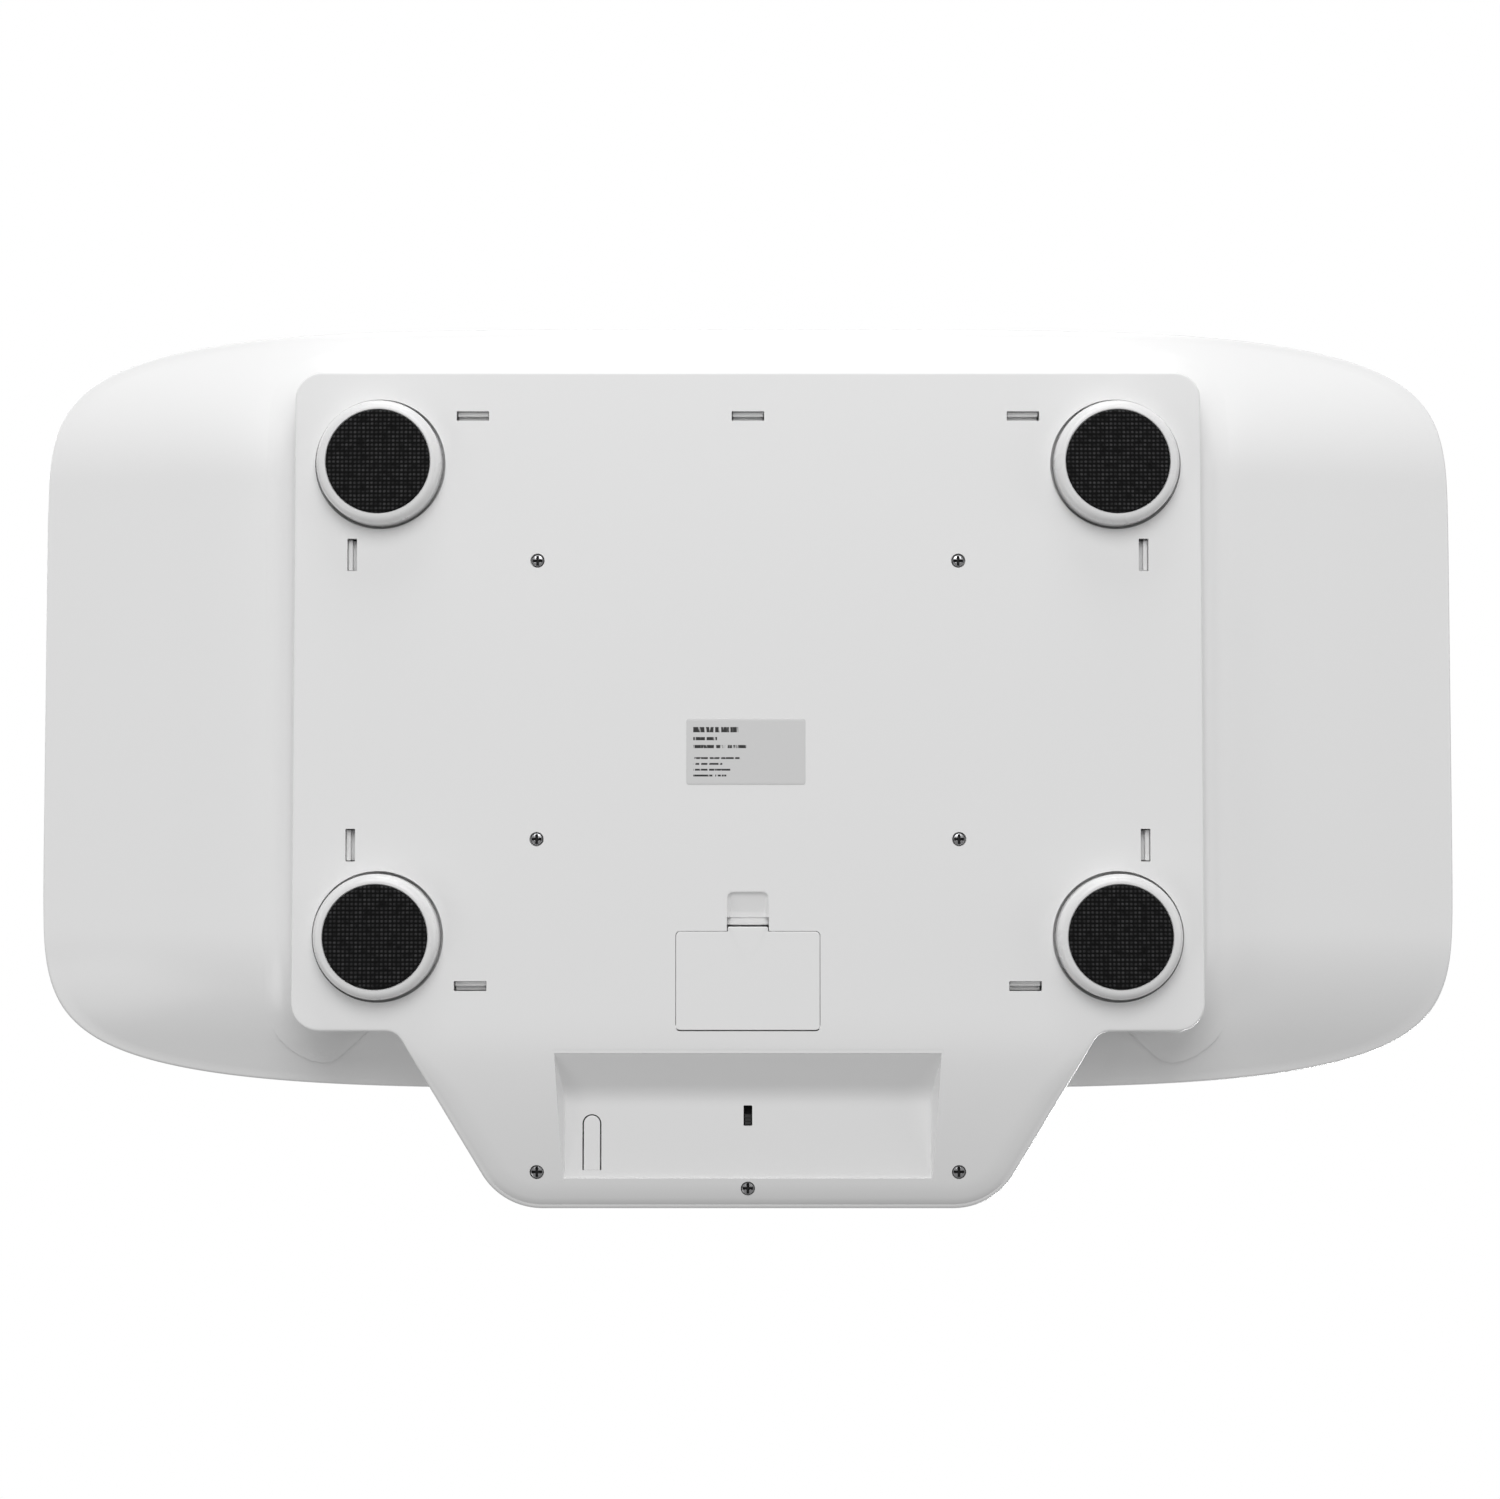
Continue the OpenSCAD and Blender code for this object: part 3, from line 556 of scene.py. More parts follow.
def plated(name, color, roughness=0.24):
    """Plated steel: a fine brushed grain and dull patches."""
    f = Finish(name, color, roughness, metallic=1.0)
    f.set("Roughness", roughness - 0.08 + 0.2 * f.noise(1.5, 4))
    return f.bump(f.noise(0.3, 2, (1, 6, 1)), 0.01).material


def painted_shade_screw(name, color):
    """Plated steel with painted shade: its colour darkens to a tenth where the piece's own sunk value marks
    the cross recess and the side, and is a little lighter on the face.
    """
    f = Finish(name, color, 0.26, metallic=1.0)
    sunk = f.node("ShaderNodeAttribute", {"attribute_name": "sunk"}, {})["Fac"]
    # painted shade: the colour falls to a tenth down the cross recess and the side
    f.set("Base Color", f.blend(sunk, shade_of(color, 1.15), shade_of(color, 0.1)))
    f.set("Roughness", 0.26 + 0.45 * sunk)
    return f.bump(f.noise(0.3, 2, (1, 6, 1)), 0.01).material


def sticker(name, color):
    """Satin sticker with plain bars in place of any wording."""
    f = Finish(name, color, 0.42, coat_weight=0.15)
    x, y, _ = f.axes()
    _, high = box_mm("rating_label")
    left, top = high[0] * MM, high[1] * MM
    across, down = left - x, top - y
    lines = 0
    for start, bar, length in ((3.2, 2.0, 17), (7.0, 1.2, 9), (10.0, 1.2, 20), (14.6, 0.7, 17.5),
                               (16.8, 0.7, 11), (19.0, 0.7, 14), (21.2, 0.7, 12.5)):
        inside_y = down.above(start * MM, 5e-5) * (1 - down.above((start + bar) * MM, 5e-5))
        inside_x = across.above(2.6 * MM, 5e-5) * (1 - across.above((2.6 + length) * MM, 5e-5))
        lines = inside_y * inside_x + lines
    words = f.noise(1.1, 1, (1, 0.12, 1)).above(0.42, 0.06)
    f.set("Base Color", f.blend(lines * words, color, shade_of(color, 0.03)))
    return f.bump(f.noise(0.4, 2), 0.002).material


def display_face(name, color):
    """Reflective display glass: a grey-green face with the faint ghost of its unlit segments."""
    f = Finish(name, color, 0.16, coat_weight=0.3)
    x, _, _ = f.axes()
    cell = (x / (13 * MM) * 2 * math.pi).sine().size()
    f.set("Base Color", f.blend(cell.above(0.9, 0.08) * 0.2, color, shade_of(color, 0.8)))
    return f.bump(f.noise(6, 2), 0.002).material


def board(name, color):
    """Circuit board: solder mask over a faint weave, with paler runs of track."""
    f = Finish(name, color, 0.35, coat_weight=0.2)
    x, _, _ = f.axes()
    track = (x * (2 * math.pi / (3.2 * MM))).sine().above(0.75, 0.1) * f.noise(8, 1).above(0.5, 0.02)
    f.set("Base Color", f.blend(track, color, shade_of(color, 1.7)))
    return f.bump(track, 0.03).material


def sleeve(name, color):
    """A cell's printed sleeve, plain, with a paler band at one end."""
    f = Finish(name, color, 0.3, metallic=0.4)
    x, _, _ = f.axes()
    f.set("Base Color", f.blend(x.size().above(14 * MM, 1e-4), color, (0.55, 0.4, 0.16)))
    return f.bump(f.noise(2, 2), 0.004).material


def clear_window(name, color):
    """Clear moulded window with a grey printed border round the opening."""
    f = Finish(name, color, 0.05)
    low, high = box_mm("display_lens")
    middle = (low + high) / 2 * MM
    half = (high - low) / 2 * MM
    x, y, _ = f.axes()
    edge_x = (x - middle[0]).size().above(half[0] - 3.4 * MM, 5e-5)
    edge_y = (y - middle[1]).size().above(half[1] - 2.6 * MM, 5e-5)
    border = edge_x.math("MAXIMUM", edge_x, edge_y)
    f.set("Base Color", f.blend(border, color, (0.34, 0.36, 0.38)))
    f.set("Alpha", 0.14 + 0.86 * border)
    return f.set("Roughness", 0.05 + 0.12 * border).material


def dress(obj, material):
    obj.data.materials.clear()
    obj.data.materials.append(material)
    return obj


def finish_named(name):
    """The material of that name, made once by the operator that needs it first."""
    if name in bpy.data.materials:
        return bpy.data.materials[name]
    c = bpy.context.scene.baby_scale_colours
    sizes = bpy.context.scene.baby_scale_sizes
    makers = {
        "white_abs": lambda: moulded("white_abs", c.shell, 0.34),
        "foot_abs": lambda: moulded("foot_abs", c.feet, 0.28, 0.6, 0.002, 0.2),
        "pad_knit": lambda: knitted_rubber("pad_knit", c.pads, sizes.knit_pitch / MM),
        "plated_screw": lambda: plated("plated_screw", c.metal),
        "painted_shade_screw": lambda: painted_shade_screw("painted_shade_screw", c.metal),
        "cell_steel": lambda: plated("cell_steel", shade_of(c.metal, 0.9), 0.4),
        "rating_sticker": lambda: sticker("rating_sticker", c.label),
        "black_plastic": lambda: moulded("black_plastic", (0.012, 0.012, 0.013), 0.4, 0.3, 0.01),
        "key_plastic": lambda: moulded("key_plastic", c.keys, 0.3, 0.5, 0.003, 0.3),
        "inner_plastic": lambda: moulded("inner_plastic", (0.62, 0.62, 0.6), 0.5, 0.8, 0.01),
        "display_face": lambda: display_face("display_face", c.display),
        "display_window": lambda: clear_window("display_window", (0.9, 0.92, 0.92)),
        "circuit_board": lambda: board("circuit_board", (0.015, 0.11, 0.045)),
        "cell_sleeve": lambda: sleeve("cell_sleeve", (0.03, 0.04, 0.05)),
        "strip_rubber": lambda: moulded("strip_rubber", (0.5, 0.22, 0.28), 0.7, 0.3, 0.02),
        "wire_red": lambda: moulded("wire_red", (0.42, 0.02, 0.02), 0.4, 0.3, 0.01),
        "wire_black": lambda: moulded("wire_black", (0.02, 0.02, 0.02), 0.4, 0.3, 0.01),
    }
    return makers[name]()


# ---------- mouldings ----------


def tray_surface():
    """The tray: a superellipse filled from its middle outwards at the height of tray_under, a half
    round over its rim, and the same sheet TRAY_WALL higher back to the middle."""
    outline = superellipse(TRAY_HALF, OUTLINE_POWERS, TRAY_TIP, OUTLINE_POINTS)
    half = TRAY_WALL / 2
    inner = outline - outward(outline) * half
    low = towards(row(inner, 0), np.zeros(2), TRAY_LEVELS[::-1], tray_under)
    turns = np.linspace(-np.pi / 2, np.pi / 2, 9)[1:-1]
    edge = tray_under(inner[:, 0], inner[:, 1]) + half
    rim = [row(inner + outward(outline) * half * math.cos(t), edge + half * math.sin(t)) for t in turns]
    high = towards(row(inner, 0), np.zeros(2), TRAY_LEVELS, lambda x, y: tray_under(x, y) + TRAY_WALL)
    return closed_skin(low + rim + high)


def cove_reach(points, radius):
    """How far the hollow round reaches out from the base's wall under the tray: full at the sides and
    the back, and none along the front, where the console comes forward."""
    x, y = points.T
    at_front = ease(-y, BASE_HALF[1] - 12, BASE_HALF[1] - 1)
    beyond = ease(np.abs(x), CONSOLE_ROOT_X + 10, BASE_HALF[0] - 8)
    return radius * (1 - at_front * (1 - beyond)) * (1 - ease(-y, BASE_HALF[1], BASE_HALF[1] + 1))


def upper_housing_surface(cove_radius):
    """The upper housing: an inner ceiling, an inner wall down to the parting line, the outer wall up
    to the tray, a hollow round out along the tray's underside or a rounded edge on the console, and
    the outer top back to the middle."""
    n = outward(OUTLINE)
    inner = OUTLINE - n * WALL
    seam = part_line(OUTLINE[:, 1]) + 0.15
    middle = np.zeros(2)

    def ceiling(x, y):
        return np.maximum(housing_top(x, y) - PLATE_WALL, part_line(y) + 1)

    rows = towards(row(inner, 0), middle, FEW_LEVELS[::-1], ceiling)
    rows += [row(inner, seam), row(OUTLINE, seam)]
    y = OUTLINE[:, 1]
    reach = cove_reach(OUTLINE, cove_radius)
    edge = CONSOLE_EDGE * ease(-y, BASE_HALF[1] + 2, BASE_HALF[1] + 8)
    top = housing_top(*(OUTLINE - n * edge[:, None]).T)
    start = np.maximum(seam + 0.3, top - np.maximum(edge, 0.8 * reach))
    for t in np.linspace(0, 1, 12):
        out = OUTLINE + n * (t * t * reach - edge * (1 - math.cos(t * math.pi / 2)))[:, None]
        goal = housing_top(out[:, 0], out[:, 1]) * (reach > 0) + top * (reach <= 0)
        cove = start + (goal - start) * (1 - (1 - t) ** 2)
        round_up = start + (top - start) * math.sin(t * math.pi / 2)
        rows.append(row(out, np.where(edge > 0, round_up, cove)))
    rim = rows[-1]
    rows += towards(rim, middle, LEVELS[1:], housing_top)
    return closed_skin(rows)


def deck_block(width, depth, v, low, high, radius=0.6, x=0):
    """A rounded block standing on the sloping display deck, in the base's own millimetres."""
    loop = rounded_box(width, depth, radius, 6, (x, v))
    return on_deck(closed_skin([row(loop, low), row(loop, high)]))


def on_deck(surface):
    """Turns a surface from the deck's frame (across, up the slope, out of it) to the base's."""
    verts, faces = surface
    c, s = math.cos(DECK_TILT), math.sin(DECK_TILT)
    x, v, w = verts.T
    return np.stack([x, DECK_BACK_Y + v * c - w * s, DECK_BACK_Z + v * s + w * c], 1), faces


def hook_blocks():
    """Snap hooks that hang from the upper housing into the base cover's slots: a leaf along the outer
    side and a thicker catch behind it."""
    parts = []
    for x, y, turned in SLOTS:
        top = DECK_Z - 1 + float(rim_lift(y))
        for low, high in (((-HOOK_HALF, 0, LEAF_Z), (HOOK_HALF, 1.75, top)),
                          ((-HOOK_HALF, -1.7, CATCH_Z), (HOOK_HALF, 0.1, top - 4))):
            verts, faces = block(low, high, 0.2)
            if turned:
                verts = verts[:, [1, 0, 2]] * [math.copysign(1, x), 1, 1]
            parts.append((verts + [x, y, 0], faces))
    return parts


def build_tray():
    obj = piece("weighing_tray_look", tray_surface(), (0, TRAY_MIDDLE[1], 0))
    dress(obj, finish_named("white_abs"))
    return stand_for(obj, "housing", "weighing_tray")


def build_upper_housing(sizes):
    obj = at_base("upper_housing_look", upper_housing_surface(sizes.cove / MM))
    cutters = [deck_block(LENS[0] + 0.2, LENS[1] + 0.2, LENS_V, -1.6, 6, 0.7),
               deck_block(LENS[0] - 2.8, LENS[1] - 2.8, LENS_V, -7, 6, 0.7)]
    for k in (-1, 0, 1):
        cutters.append(deck_block(KEY[0] + 0.5, KEY[1] + 0.5, KEY_V, -7, 6, (KEY[1] + 0.5) / 2.001,
                                  k * KEY_PITCH))
    carve(obj, cutters, (0, BASE_Y, 0))
    join(obj, [at_base("hooks", combine(hook_blocks()))])
    dress(obj, finish_named("white_abs"))
    return stand_for(obj, "housing", "upper_housing")


# ---------- base cover ----------


def cover_surface(crown_rise):
    """The base cover: inner face, low inner wall, parting line, outer wall, rounded lower edge and the
    outer face filled towards the middle."""
    n = outward(OUTLINE)
    inner = OUTLINE - n * WALL
    seam = part_line(OUTLINE[:, 1]) - 0.15
    middle = np.array([0, -20.0])
    edge = EDGE_R + (CONSOLE_EDGE_R - EDGE_R) * IN_CONSOLE
    crown = crown_rise * IN_CONSOLE
    rows = towards(row(inner, 0), middle, FEW_LEVELS[::-1], lambda x, y: under_z(y) + PLATE_WALL)
    rows += [row(inner, seam), row(OUTLINE, seam)]
    base = under_z(OUTLINE[:, 1]) + crown
    for t in np.linspace(0, np.pi / 2, 8):
        out = OUTLINE - n * (edge * (1 - math.cos(t)))[:, None]
        rows.append(row(out, base + edge * (1 - math.sin(t))))
    start = rows[-1]
    width = CROWN_WIDTH * IN_CONSOLE + 3 * (1 - IN_CONSOLE)
    for t in (0.12, 0.3, 0.5, 0.7, 0.85, 1.0):
        out = start[:, :2] - n * (t * width)[:, None]
        rows.append(row(out, under_z(out[:, 1]) + crown * (1 - t) ** 2))
    rim = rows[-1]
    rows += towards(rim, middle, LEVELS[1:], lambda x, y: under_z(y))
    return closed_skin(rows)


def post(loop, low, high):
    """A closed upright prism."""
    return closed_skin([row(loop, low), row(loop, high)])


def cover_cutters():
    """Everything that is open in the base cover's plate, in groups whose shapes don't touch: first foot
    holes, hook slots, screw seats, the battery opening and the recess's mouth, then the latch notch,
    then the scoop's mouth."""
    cutters = [post(circle(FOOT_HOLE_R, 160, (sx * FEET[0], sy * FEET[1])), 5, 20)
               for sx in (-1, 1) for sy in (-1, 1)]
    for x, y, turned in SLOTS:
        w, d = SLOT_SIZE[::-1] if turned else SLOT_SIZE
        cutters.append(post(rounded_box(w, d, 0.3, 3, (x, y)), 5, 16))
    for x, y in PLATE_SCREWS + CONSOLE_SCREWS:
        z = float(under_z(np.array(y)))
        seat = post(circle(HEAD_HOLE_R, 64, (x, y)), z - 3, z + HEAD_SINK + 1.4)
        cutters.append(seat)
    front, back = DOOR_Y[0] - DOOR_FRONT_GAP, DOOR_Y[1] + DOOR_GAP
    door = rounded_box(DOOR_SIZE[0] + 2 * DOOR_GAP, back - front, DOOR_CORNER, 5, (0, (front + back) / 2))
    cutters.append(post(door, 5, 16))
    notch = rounded_box(TAB_W + 0.7, LATCH_BACK + 89, 0.8, 4, (0, (LATCH_BACK - 89) / 2))
    scoop = rounded_box(SCOOP_W, SCOOP_BACK - LATCH_BACK + 3, 2.5, 6, (0, (SCOOP_BACK + LATCH_BACK - 3) / 2))
    cutters.append(post(recess_mouth(), 0, 26))
    return cutters, [post(notch, 4, 17)], [post(scoop, 3, 18)]


def recess_mouth():
    """Outline of the recess where it meets the base's face, wider at the back than at the front."""
    back_y, back_x = RECESS_BACK_FOOT[0] + 1.5, RECESS_HALF + 3.2
    front_x = RECESS_HALF + 0.6
    return np.array([[-back_x, back_y], [-front_x, RECESS_FRONT - 0.6], [front_x, RECESS_FRONT - 0.6],
                     [back_x, back_y]])


def recess_height(x, y):
    """Outer face of the console recess: a level floor with a sloping back and steep sides, met by the
    base's own face with a small round all the way along its lip."""
    foot_y, foot_z = RECESS_BACK_FOOT
    back = foot_z + RECESS_BACK_SLOPE * (foot_y - y)
    sides = RECESS_FLOOR + (RECESS_HALF - np.abs(x)) / RECESS_DRAFT
    back = smooth_min(back, RECESS_FLOOR + 0 * y, 3.0)
    raised = smooth_min(back, sides, 0.9)
    lip = 0.2 + 0.7 * ease(y, RECESS_FRONT + 4, RECESS_FRONT + 22)
    return smooth_max(under_z(y), raised, lip) - FLUSH


def scoop_height(x, y):
    """Outer face of the shallow scoop behind the battery door's tab, deepest beside the tab."""
    ceiling = PLATE_Z + 3 - 0.23 * np.maximum(0, y - LATCH_BACK - 2)
    inside = inside_rounded_box(x, y - (SCOOP_BACK + LATCH_BACK - 8) / 2, SCOOP_W / 2,
                                (SCOOP_BACK - LATCH_BACK + 8) / 2, 2.5)
    return smooth_max(PLATE_Z + 0 * y, smooth_min(ceiling, PLATE_Z + 2.2 * inside, 0.8), 0.5) - FLUSH


def recess_bowl():
    """The recess as a sheet of its own, with dense lines where it bends."""
    half = RECESS_HALF
    right = np.concatenate([np.linspace(0, half - 3, 30, endpoint=False),
                            np.linspace(half - 3, half + 6.5, 34)])
    x = np.concatenate([-right[:0:-1], right])
    y = np.concatenate([np.linspace(RECESS_FRONT - 1.7, -152, 26, endpoint=False),
                        np.linspace(-152, -127.5, 44)])
    surface = slab(x, y, recess_height, lambda a, b: recess_height(a, b) + 1.8)
    obj = at_base("recess", surface)
    window = post(rounded_box(3.3, 7.7, 0.3, 3, (0, SWITCH_Y)), 18, 28)
    slot = post(tongue_outline(0.5), 18, 28)
    return carve(obj, [window, slot], (0, BASE_Y, 0))


def tongue_outline(grow=0.0):
    """The press tongue's plan: straight sides from its root and a half round at its free end."""
    half = TONGUE_W / 2 + grow
    root = np.array([[TONGUE_X - half, TONGUE_ROOT], [TONGUE_X + half, TONGUE_ROOT]])
    free = arc((TONGUE_X, TONGUE_END - TONGUE_W / 2), half, 0, 186, 19)
    return np.vstack([root, free])


def build_base_cover(sizes):
    obj = at_base("base_cover_look", cover_surface(sizes.crown / MM))
    for group in cover_cutters():
        carve(obj, group, (0, BASE_Y, 0))
    y = np.linspace(LATCH_BACK, SCOOP_BACK + 1.2, 24)
    x = np.linspace(-SCOOP_W / 2 - 1.2, SCOOP_W / 2 + 1.2, 44)
    scoop = at_base("scoop", slab(x, y, scoop_height, lambda a, b: scoop_height(a, b) + 1.5))
    bay = at_base("bay", combine([
        block((-28.6, LATCH_BACK - 41.8, 23.2), (28.6, LATCH_BACK - 5, 24.6), 0.3),
        block((-TAB_W / 2 - 0.6, TAB_BACK + 0.6, 12.4), (TAB_W / 2 + 0.6, LATCH_BACK + 0.4, 14.0), 0.3)]))
    join(obj, [recess_bowl(), scoop, bay])
    dress(obj, finish_named("white_abs"))
    return stand_for(obj, "housing", "base_cover")


def door_outline():
    """The battery door's plan: a rounded rectangle whose back edge carries the latch tab."""
    x, tab = DOOR_SIZE[0] / 2 - DOOR_CORNER, TAB_W / 2
    front, back, r = DOOR_Y[0] + DOOR_CORNER, DOOR_Y[1] - DOOR_CORNER, DOOR_CORNER
    right = np.vstack([
        [[0, DOOR_Y[0]]], arc((x, front), r, -90, 6, 7), arc((x, back), r, 0, 96, 7),
        [[tab, DOOR_Y[1]]], arc((tab - 0.5, TAB_BACK - 0.5), 0.5, 0, 100, 5)])
    return np.vstack([right, right[:0:-1] * [-1, 1]])


def build_door():
    """The battery door: a plate with softened edges and its tab, pins at its front and its sprung arm."""
    profile = [(-0.45, PLATE_Z), (-0.2, PLATE_Z), (-0.06, PLATE_Z + 0.06), (0, PLATE_Z + 0.2),
               (0, PLATE_Z + 1.8), (-0.15, PLATE_Z + 2)]
    pin = closed_skin(carried(circle(0.8, 24), [(0, -28.3), (0, 28.3)]))
    turned_pin = pin[0][:, [2, 1, 0]] + [0, DOOR_Y[0] + 1, PLATE_Z + 1]
    parts = [closed_skin(carried(door_outline(), profile)), (turned_pin, pin[1]),
             block((-6.5, DOOR_Y[1] + 0.2, PLATE_Z + 1), (6.5, DOOR_Y[1] + 1.4, PLATE_Z + 8), 0.4)]
    obj = at_base("battery_door_look", combine(parts))
    dress(obj, finish_named("white_abs"))
    return stand_for(obj, "battery_door", "battery_door")


# ---------- feet ----------


def turned(profile, count=160):
    """A surface of revolution about Z from (radius, height) points, closed by a fan at each end."""
    return closed_skin([row(circle(r, count), z) for r, z in profile])


def cap_profile():
    """Radius and height down the seat, round the foot's edge, out to its flange and up to its pin."""
    edge = [(CAP_R - 3.2 + 3.2 * math.sin(t), 0.8 + 3.6 * (1 - math.cos(t)))
            for t in np.linspace(0, np.pi / 2, 12)]
    return [(0.5, 1.4), (10, 1.4), (PAD_SEAT_R, 1.4), (PAD_SEAT_R, 1.02), (PAD_SEAT_R + 0.22, 0.8), *edge,
            (CAP_R, 13.2), (25.4, 13.2), (25.4, 14.5), (21.6, 14.5), (21.6, 4), (6, 4), (6, 17),
            (2.4, 17), (2.4, 20), (0.5, 20)]


def disc_grid(steps):
    """A square grid of points pressed into a unit disc."""
    a = np.linspace(-1, 1, steps)
    x, y = np.meshgrid(a, a, indexing="ij")
    return x * np.sqrt(1 - y * y / 2), y * np.sqrt(1 - x * x / 2)


def knit_height(x, y, pitch, depth):
    """Height of the pad's under face: knots in rows that stand out of a level sheet."""
    turn = math.pi / pitch
    knots = np.abs(np.sin(x * turn) * np.sin(y * turn)) ** 0.7
    fall = np.clip((PAD_R - np.hypot(x, y)) / 0.8, 0, 1) ** 0.5
    return depth * (1.1 - knots) + 0.5 * (1 - fall)


def pad_surface(pitch, depth):
    """A round pad whose under face is knit_height over a disc, closed by a straight side and a flat top."""
    u, v = disc_grid(150)
    x, y = u * PAD_R, v * PAD_R
    n = len(x)
    _, faces = slab(np.arange(n), np.arange(n), lambda a, b: 0 * a, lambda a, b: 0 * a)
    low = np.stack([x, y, knit_height(x, y, pitch, depth)], -1).reshape(-1, 3)
    high = np.stack([x, y, np.full_like(x, 1.4)], -1).reshape(-1, 3)
    return np.vstack([low, high]), faces


def build_feet(sizes):
    made = []
    knit = pad_surface(sizes.knit_pitch / MM, sizes.knit_depth / MM)
    for corner in CORNERS:
        x, y, _ = middle_mm("foot_cap_" + corner)
        cap = piece("foot_cap_look_" + corner, turned(cap_profile()), (x, y, 0))
        dress(cap, finish_named("foot_abs"))
        made.append(stand_for(cap, "housing", "foot_cap_" + corner))
        pad = piece("foot_pad_look_" + corner, knit, (x, y, 0))
        dress(pad, finish_named("pad_knit"))
        made.append(stand_for(pad, "housing", "foot_pad_" + corner))
    return made


# ---------- screws, switch, tongue, label ----------


def screw_head(spot, radius, shank, cross_depth):
    """A cross-head screw seen from below: a domed face with a tapering cross recess. Gives its points,
    its faces and how far each point is sunk, from 0 on the face to 1 down the recess and the side."""
    count = 96
    turn = np.linspace(0, 2 * np.pi, count, endpoint=False)
    x, y = spot
    level = float(under_z(np.array(float(y)))) + HEAD_SINK
    rows, sunk = [], []
    for r in np.linspace(0.04, radius - 0.1, 34):
        px, py = r * np.cos(turn), r * np.sin(turn)
        arms, length = np.minimum(np.abs(px), np.abs(py)), np.maximum(np.abs(px), np.abs(py))
        cut = np.clip((0.5 - arms) / 0.14, 0, 1) * np.clip((radius * 0.8 - length) / 0.3, 0, 1)
        rows.append(row(np.stack([px, py], 1), 0.35 * (r / radius) ** 4 + cross_depth * cut))
        # the sunk value, which the screw finish turns into painted shade
        sunk.append(np.maximum(cut, ease(r, radius - 0.35, radius - 0.1)))
    for r, z in ((radius, 0.6), (radius, 1.4), (1.4, 1.4), (1.4, shank)):
        rows.append(row(circle(r, count), z))
        sunk.append(np.ones(count))
    verts, faces = closed_skin(rows)
    return verts + [x, y, level], faces, np.concatenate([sunk[0], *sunk, sunk[-1], [1, 1]])


def build_screws(sizes):
    made = []
    for name, spots, radius, shank in (("plate_screws", PLATE_SCREWS, HEAD_R - 0.15, 8.4),
                                       ("console_screws", CONSOLE_SCREWS, HEAD_R, 6.9)):
        heads = [screw_head(spot, radius, shank, sizes.cross_depth / MM) for spot in spots]
        obj = at_base(name + "_look", combine([head[:2] for head in heads]))
        # the sunk value that the screw finish paints as shade
        depth = obj.data.attributes.new("sunk", "FLOAT", "POINT")
        depth.data.foreach_set("value", np.concatenate([head[2] for head in heads]).astype(np.float32))
        dress(obj, finish_named("painted_shade_screw"))
        made.append(stand_for(obj, "housing", name))
    return made


def build_switch():
    """The unit switch's knob: a small block with three grip ridges across its outer face."""
    low, high = box_mm("unit_switch_knob")
    x = np.linspace(low[0], high[0], 8)
    y = np.linspace(low[1], high[1], 60)
    depth = 0.25

    def face(a, b):
        grip = np.clip(np.sin((b - low[1]) / (high[1] - low[1]) * 3 * 2 * np.pi) * 1.5, -1, 1)
        edge = np.minimum(np.minimum(a - low[0], high[0] - a), np.minimum(b - low[1], high[1] - b))
        return low[2] + depth / 2 * (1 - grip) + 0.2 * (1 - np.clip(edge / 0.2, 0, 1))

    obj = piece("unit_switch_look", slab(x, y, face, lambda a, b: high[2] + 0 * a))
    dress(obj, finish_named("black_plastic"))
    return stand_for(obj, "unit_switch", "unit_switch_knob")


def build_tongue():
    """The press tongue: a strip with softened edges."""
    loop = tongue_outline()
    steps = [(-1.1, 0), (-0.3, 0), (-0.08, 0.08), (0, 0.3), (0, 2.0), (-0.2, 2.2)]
    rows = carried(loop, [(inset, RECESS_FLOOR + rise) for inset, rise in steps])
    obj = at_base("press_tongue_look", closed_skin(rows))
    dress(obj, finish_named("white_abs"))
    return stand_for(obj, "press_tongue", "press_tongue")


def build_label():
    """The rating sticker: a thin sheet with round corners, plain but for generic bars."""
    x0, x1, y0, y1 = LABEL
    loop = rounded_box(x1 - x0, y1 - y0, 1.0, 6, ((x0 + x1) / 2, (y0 + y1) / 2))
    rows = carried(loop, [(0, PLATE_Z - 0.03), (-0.03, PLATE_Z - 0.08), (-0.1, PLATE_Z - 0.1),
                          (-1.0, PLATE_Z - 0.1)])
    obj = at_base("rating_label_look", closed_skin(rows[::-1]))
    dress(obj, finish_named("rating_sticker"))
    return stand_for(obj, "housing", "rating_label")


# ---------- display and keys ----------


def build_lens():
    loop = rounded_box(LENS[0], LENS[1], 0.7, 6, (0, LENS_V))
    rows = carried(loop, [(0, -1.5), (0, -0.2), (-0.06, -0.06), (-0.2, 0), (-1.2, 0)])
    obj = at_base("display_lens_look", on_deck(closed_skin(rows)))
    dress(obj, finish_named("display_window"))
    return stand_for(obj, "housing", "display_lens")


def key_surface(middle_x):
    """A pill-shaped key: a stem through the deck and a softly domed top."""
    loop = rounded_box(KEY[0], KEY[1], KEY[1] / 2.001, 14, (middle_x, KEY_V))
    profile = [(0, -3.5), (0, 0.35), (-0.12, 0.62), (-0.4, 0.78), (-1.1, 0.88), (-2.0, 0.9)]
    return on_deck(closed_skin(carried(loop, profile)))


def build_keys():
    made = []
    for k, name in zip((-1, 0, 1), ("power_key", "tare_key", "hold_key")):
        obj = at_base(name + "_look", key_surface(k * KEY_PITCH))
        dress(obj, finish_named("key_plastic"))
        made.append(stand_for(obj, name, name))
    return made


CARRIED_FINISHES = {
    "battery_springs": "cell_steel", "contact_plates": "cell_steel", "battery_wires": "wire_black",
    "battery_": "cell_sleeve", "load_cell_": "cell_steel", "cell_holder_": "inner_plastic",
    "main_board": "circuit_board", "switch_board": "circuit_board", "lcd_glass": "display_face",
    "lcd_frame": "inner_plastic", "contact_strips": "strip_rubber", "key_switches": "black_plastic",
    "unit_switch_body": "black_plastic", "reset_switch": "black_plastic", "board_screws": "plated_screw",
    "holder_screws": "plated_screw", "tray_screws": "plated_screw", "cell_wires": "wire_red",
}


